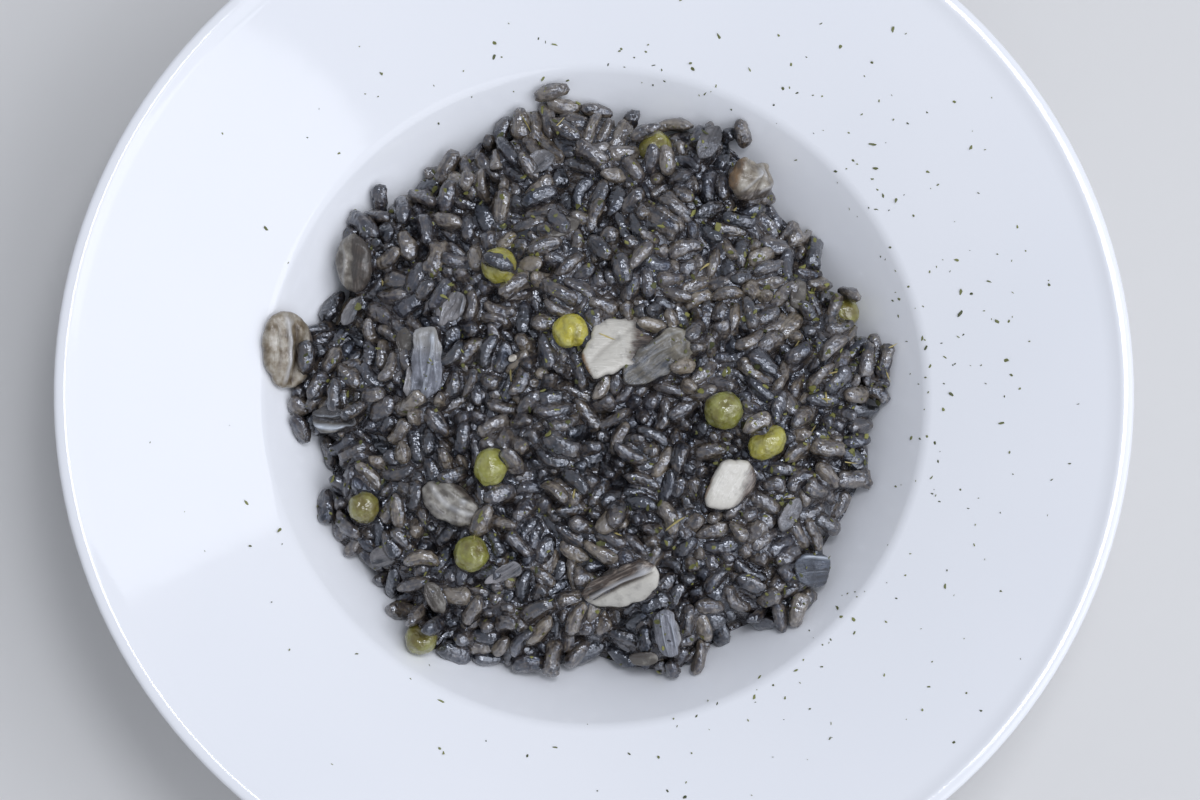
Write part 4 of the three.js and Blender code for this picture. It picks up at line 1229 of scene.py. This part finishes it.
class RISOTTO_OT_sauce(bpy.types.Operator):
    """Fill the heap with ink sauce that bridges the narrow gaps between the grains"""
    bl_idname = "risotto.sauce"
    bl_label = "Sauce"

    CELL, HALF = 0.5, 90  # of the grid
    BRIDGE, DROP, INSET = 1, 0.9, 4  # half the gap that it spans, its sag, and its edge inside the heap's
    CLEAR = 0.12  # between the sauce and the china

    def film(self):
        """Height of the grains and toppings over a square grid, with the gaps between them bridged."""
        places = np.arange(-self.HALF, self.HALF + 0.1, self.CELL)
        x, y = np.meshgrid(places, places, indexing="ij")
        tops = plate_level(np.hypot(x, y))
        trees = [tree_of(piece) for piece in food_pieces("rice", "pea", "mushroom", "onion")]
        for i, j in np.argwhere(np.hypot(x, y) < self.HALF):
            hit = first_hit(trees, x[i, j], y[i, j])
            if hit:
                tops[i, j] = max(tops[i, j], hit[0].z / MM)
        cells = self.BRIDGE / self.CELL
        film = spread_over(spread_over(tops, cells, np.maximum), cells, np.minimum)
        return four_round(film, film) / 5

    def execute(self, context):
        heap = scene_heap()
        bm = bmesh.new()
        bmesh.ops.create_grid(bm, x_segments=520, y_segments=110, size=1)
        for vert in bm.verts:
            angle, share = (vert.co.x + 1) * math.pi, (vert.co.y + 1) / 2
            x, y = math.cos(angle), math.sin(angle)
            distance = max(share, 0) ** 0.8 * (float(heap.reach(x, y)) - self.INSET)
            vert.co = Vector((x, y, 0)) * distance
        bmesh.ops.remove_doubles(bm, verts=bm.verts, dist=0.02)
        x, y = np.array([v.co[:2] for v in bm.verts]).T
        china = plate_level(np.hypot(x, y)) + self.CLEAR
        level = between_cells(self.film(), (x + self.HALF) / self.CELL, (y + self.HALF) / self.CELL)
        lumps = 0.5 * unevenness(x, y, 3.2, 0, octaves=4)
        pools = 2.2 * np.minimum(unevenness(x, y, 9, 7 / 9), 0.1)
        level = np.maximum(level, core_level(heap, x, y)) - self.DROP + pools + lumps
        edge = ease(0, 3, heap.reach(x, y) - self.INSET - np.hypot(x, y))
        level = np.maximum(china + 0.05 + (level - china) * np.minimum(1, edge + 0.1), china + 0.05)
        for vert, z in zip(bm.verts, level):
            vert.co.z = z
        below = bmesh.ops.extrude_face_region(bm, geom=bm.faces[:])
        for vert in [g for g in below["geom"] if isinstance(g, bmesh.types.BMVert)]:
            vert.co.z = float(plate_level(math.hypot(vert.co.x, vert.co.y))) + self.CLEAR
        bmesh.ops.scale(bm, vec=(MM, MM, MM), verts=bm.verts)
        bmesh.ops.recalc_face_normals(bm, faces=bm.faces)
        link_piece("ink_sauce", mesh_of(bm, "ink_sauce"), ink_sauce(), ["risotto"])
        return {"FINISHED"}


def flakes(name, spots, normals, sizes, rng, material):
    """Small crumbled flakes lying on a surface, as one piece. Sizes are half-lengths along three axes."""
    count = len(spots)
    bm = bmesh.new()
    bmesh.ops.create_icosphere(bm, subdivisions=1, radius=1)
    points, faces = shape_of(bm)
    heading = rng.uniform(0, 2 * math.pi, count)
    some_way = np.column_stack([np.cos(heading), np.sin(heading), np.zeros(count)])
    tilted = unit(normals + rng.normal(0, 0.25, (count, 3)))
    turns = frames(unit(np.cross(tilted, some_way)), tilted, np.zeros(count))
    crumple = 1 + rng.uniform(-0.45, 0.35, (count, len(points), 1))
    shapes = points[None] * crumple * sizes[:, None, :]
    shapes[..., 2] += 0.15 * shapes[..., 0] ** 2 / np.maximum(sizes[:, None, 0], 0.1)
    lifted = spots + tilted * sizes[:, 2:3] * 0.8
    tones = np.repeat(rng.uniform(0, 0.9, count), len(points))
    link_piece(name, joined_mesh(name, faces, turns, shapes, lifted, tone=tones), material)


def rim_spots(rng, count):
    """Places on the china where herbs fell, and its normals: mostly to the right and behind."""
    group = rng.choice(4, count, p=[0.4, 0.27, 0.2, 0.13])
    angle = np.radians(np.choose(group, [
        rng.normal(5, 28, count), rng.normal(72, 24, count), rng.normal(-52, 24, count),
        rng.uniform(100, 320, count)]))
    distance = RIM_START + np.abs(rng.normal(0, 22, count))
    distance = np.where(distance > RIM_END, rng.uniform(RIM_START + 4, RIM_END - 3, count), distance)
    away = np.column_stack([np.cos(angle), np.sin(angle)])
    normals = unit(np.column_stack([-plate_slope(distance)[:, None] * away, np.ones(count)]))
    return np.column_stack([distance[:, None] * away, plate_level(distance)]), normals


def rice_spots(rng, count, trees):
    """Places on the rice and onion and their normals, found by letting each flake fall on them."""
    spots = []
    while len(spots) < count:
        distance = HERB_REACH * math.sqrt(rng.uniform())
        angle = rng.uniform(0, 2 * math.pi)
        hit = first_hit(trees, distance * math.cos(angle), distance * math.sin(angle))
        if not hit or hit[1].z < 0.3:
            continue
        place, normal = np.array(hit, float)
        x, y, _ = place / MM
        if rng.uniform() <= (0.3 + 0.7 * ease(20, 70, x)) * ease(-0.6, 0.4, clumps([x], [y])[0]):
            spots.append((place / MM, normal))
    return np.array(spots).transpose(1, 0, 2)


class RISOTTO_OT_herbs(bpy.types.Operator):
    """Strew dried herbs over the plate and the rice"""
    bl_idname = "risotto.herbs"
    bl_label = "Herbs"

    def execute(self, context):
        settings = context.scene.risotto_herbs
        rng = np.random.default_rng(settings.seed)
        count = settings.on_rim
        spots, normals = rim_spots(rng, count)
        long = np.minimum(rng.gamma(1.8, 0.17, count) + 0.15, 1.1)
        wide = np.minimum(long * rng.uniform(0.3, 0.75, count), 0.42)
        sizes = np.column_stack([long, wide, rng.uniform(0.06, 0.14, count)])
        dry = dried_herb("dried_parsley", settings.leaf_dark, settings.leaf_light)
        flakes("herbs_on_rim", spots, normals, sizes, rng, dry)

        trees = [tree_of(piece) for piece in food_pieces("rice", "ink", "onion")]
        count = settings.on_rice
        spots, normals = rice_spots(rng, count, trees)
        long = np.minimum(rng.gamma(1.8, 0.24, count) + 0.12, 1.2)
        sizes = np.column_stack([long, long * rng.uniform(0.3, 0.8, count), rng.uniform(0.08, 0.18, count)])
        flakes("herbs_on_rice", spots, normals, sizes, rng, dried_herb("damp_parsley", "#353a20", "#8d8c4a"))

        count = settings.stems
        spots, normals = rice_spots(rng, count, trees)
        sizes = np.column_stack([
            rng.uniform(1.6, 3.2, count), rng.uniform(0.18, 0.3, count), rng.uniform(0.16, 0.24, count)])
        straw = dried_herb("dried_stem", "#7d7340", "#c2b276")
        flakes("herb_stems", spots + normals * 0.3, normals, sizes, rng, straw)
        return {"FINISHED"}


class RISOTTO_OT_stage(bpy.types.Operator):
    """Set the pale floor, the window light and the camera"""
    bl_idname = "risotto.stage"
    bl_label = "Stage"

    def add(self, name, data, place=(0, 0, 0), away=None):
        """Link an object to the scene, facing back along a way."""
        made = bpy.data.objects.new(name, data)
        bpy.context.collection.objects.link(made)
        made.location = place
        if away:
            made.rotation_euler = (-away).to_track_quat("-Z", "Y").to_euler()
        return made

    def execute(self, context):
        settings = context.scene.risotto_stage
        scene = context.scene
        bm = bmesh.new()
        bmesh.ops.create_grid(bm, x_segments=1, y_segments=1, size=1.6)
        mesh = mesh_of(bm, "floor")
        mesh.materials.append(studio_floor(settings.floor))
        floor = self.add("floor", mesh)
        floor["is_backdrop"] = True

        target = Vector((0.0, 0.0, 0.04))
        for name, (radiance, azimuth, lift, distance, width, height) in LIGHTS.items():
            light = bpy.data.lights.new(name, "AREA")
            light.shape = "RECTANGLE"
            light.size, light.size_y = width, height
            light.energy = radiance * math.pi * width * height * settings.window
            light.color = linear("#f4f7ff")[:3]
            turn, rise = math.radians(azimuth), math.radians(lift)
            away = Vector((math.cos(rise) * math.cos(turn), math.cos(rise) * math.sin(turn), math.sin(rise)))
            self.add(name, light, target + away * distance, away)

        world = bpy.data.worlds.new("soft_room")
        world.use_nodes = True
        world.node_tree.nodes.clear()
        sky = add_node(world.node_tree, "Background", {"Color": "#e4e9f4", "Strength": settings.fill})
        add_node(world.node_tree, "OutputWorld", {"Surface": sky})
        scene.world = world
        scene.view_settings.view_transform = "Standard"

        camera = bpy.data.cameras.new("camera")
        camera.lens = settings.lens
        camera.sensor_width = 36
        lift = math.radians(CAMERA_LIFT)
        away = Vector((0, -math.cos(lift), math.sin(lift)))
        scene.camera = self.add("camera", camera, CAMERA_AIM + away * CAMERA_DISTANCE, away)
        return {"FINISHED"}


# ---- Panel and registration ----

class RISOTTO_PT_panel(bpy.types.Panel):
    """Lists the steps that build the plate"""
    bl_label = "Black risotto"
    bl_idname = "RISOTTO_PT_panel"
    bl_space_type = "VIEW_3D"
    bl_region_type = "UI"
    bl_category = "Risotto"

    def draw(self, context):
        for operator in OPERATORS:
            self.layout.operator(operator.bl_idname)
        for key, group in GROUPS.items():
            box = self.layout.box()
            for name in group.__annotations__:
                box.prop(getattr(context.scene, key), name)


GROUPS = {
    "risotto_plate": PlateSettings,
    "risotto_rice": RiceSettings,
    "risotto_toppings": ToppingSettings,
    "risotto_herbs": HerbSettings,
    "risotto_stage": StageSettings,
}
OPERATORS = [
    RISOTTO_OT_plate, RISOTTO_OT_rice, RISOTTO_OT_peas, RISOTTO_OT_mushrooms,
    RISOTTO_OT_onions, RISOTTO_OT_sauce, RISOTTO_OT_herbs, RISOTTO_OT_stage,
]
CLASSES = [*GROUPS.values(), *OPERATORS, RISOTTO_PT_panel]


def register():
    for one in CLASSES:
        bpy.utils.register_class(one)
    for key, group in GROUPS.items():
        setattr(bpy.types.Scene, key, bpy.props.PointerProperty(type=group))


def unregister():
    for key in GROUPS:
        delattr(bpy.types.Scene, key)
    for one in reversed(CLASSES):
        bpy.utils.unregister_class(one)


def main():
    register()
    for operator in OPERATORS:
        family, name = operator.bl_idname.split(".")
        getattr(getattr(bpy.ops, family), name)()


if __name__ == "__main__":
    main()
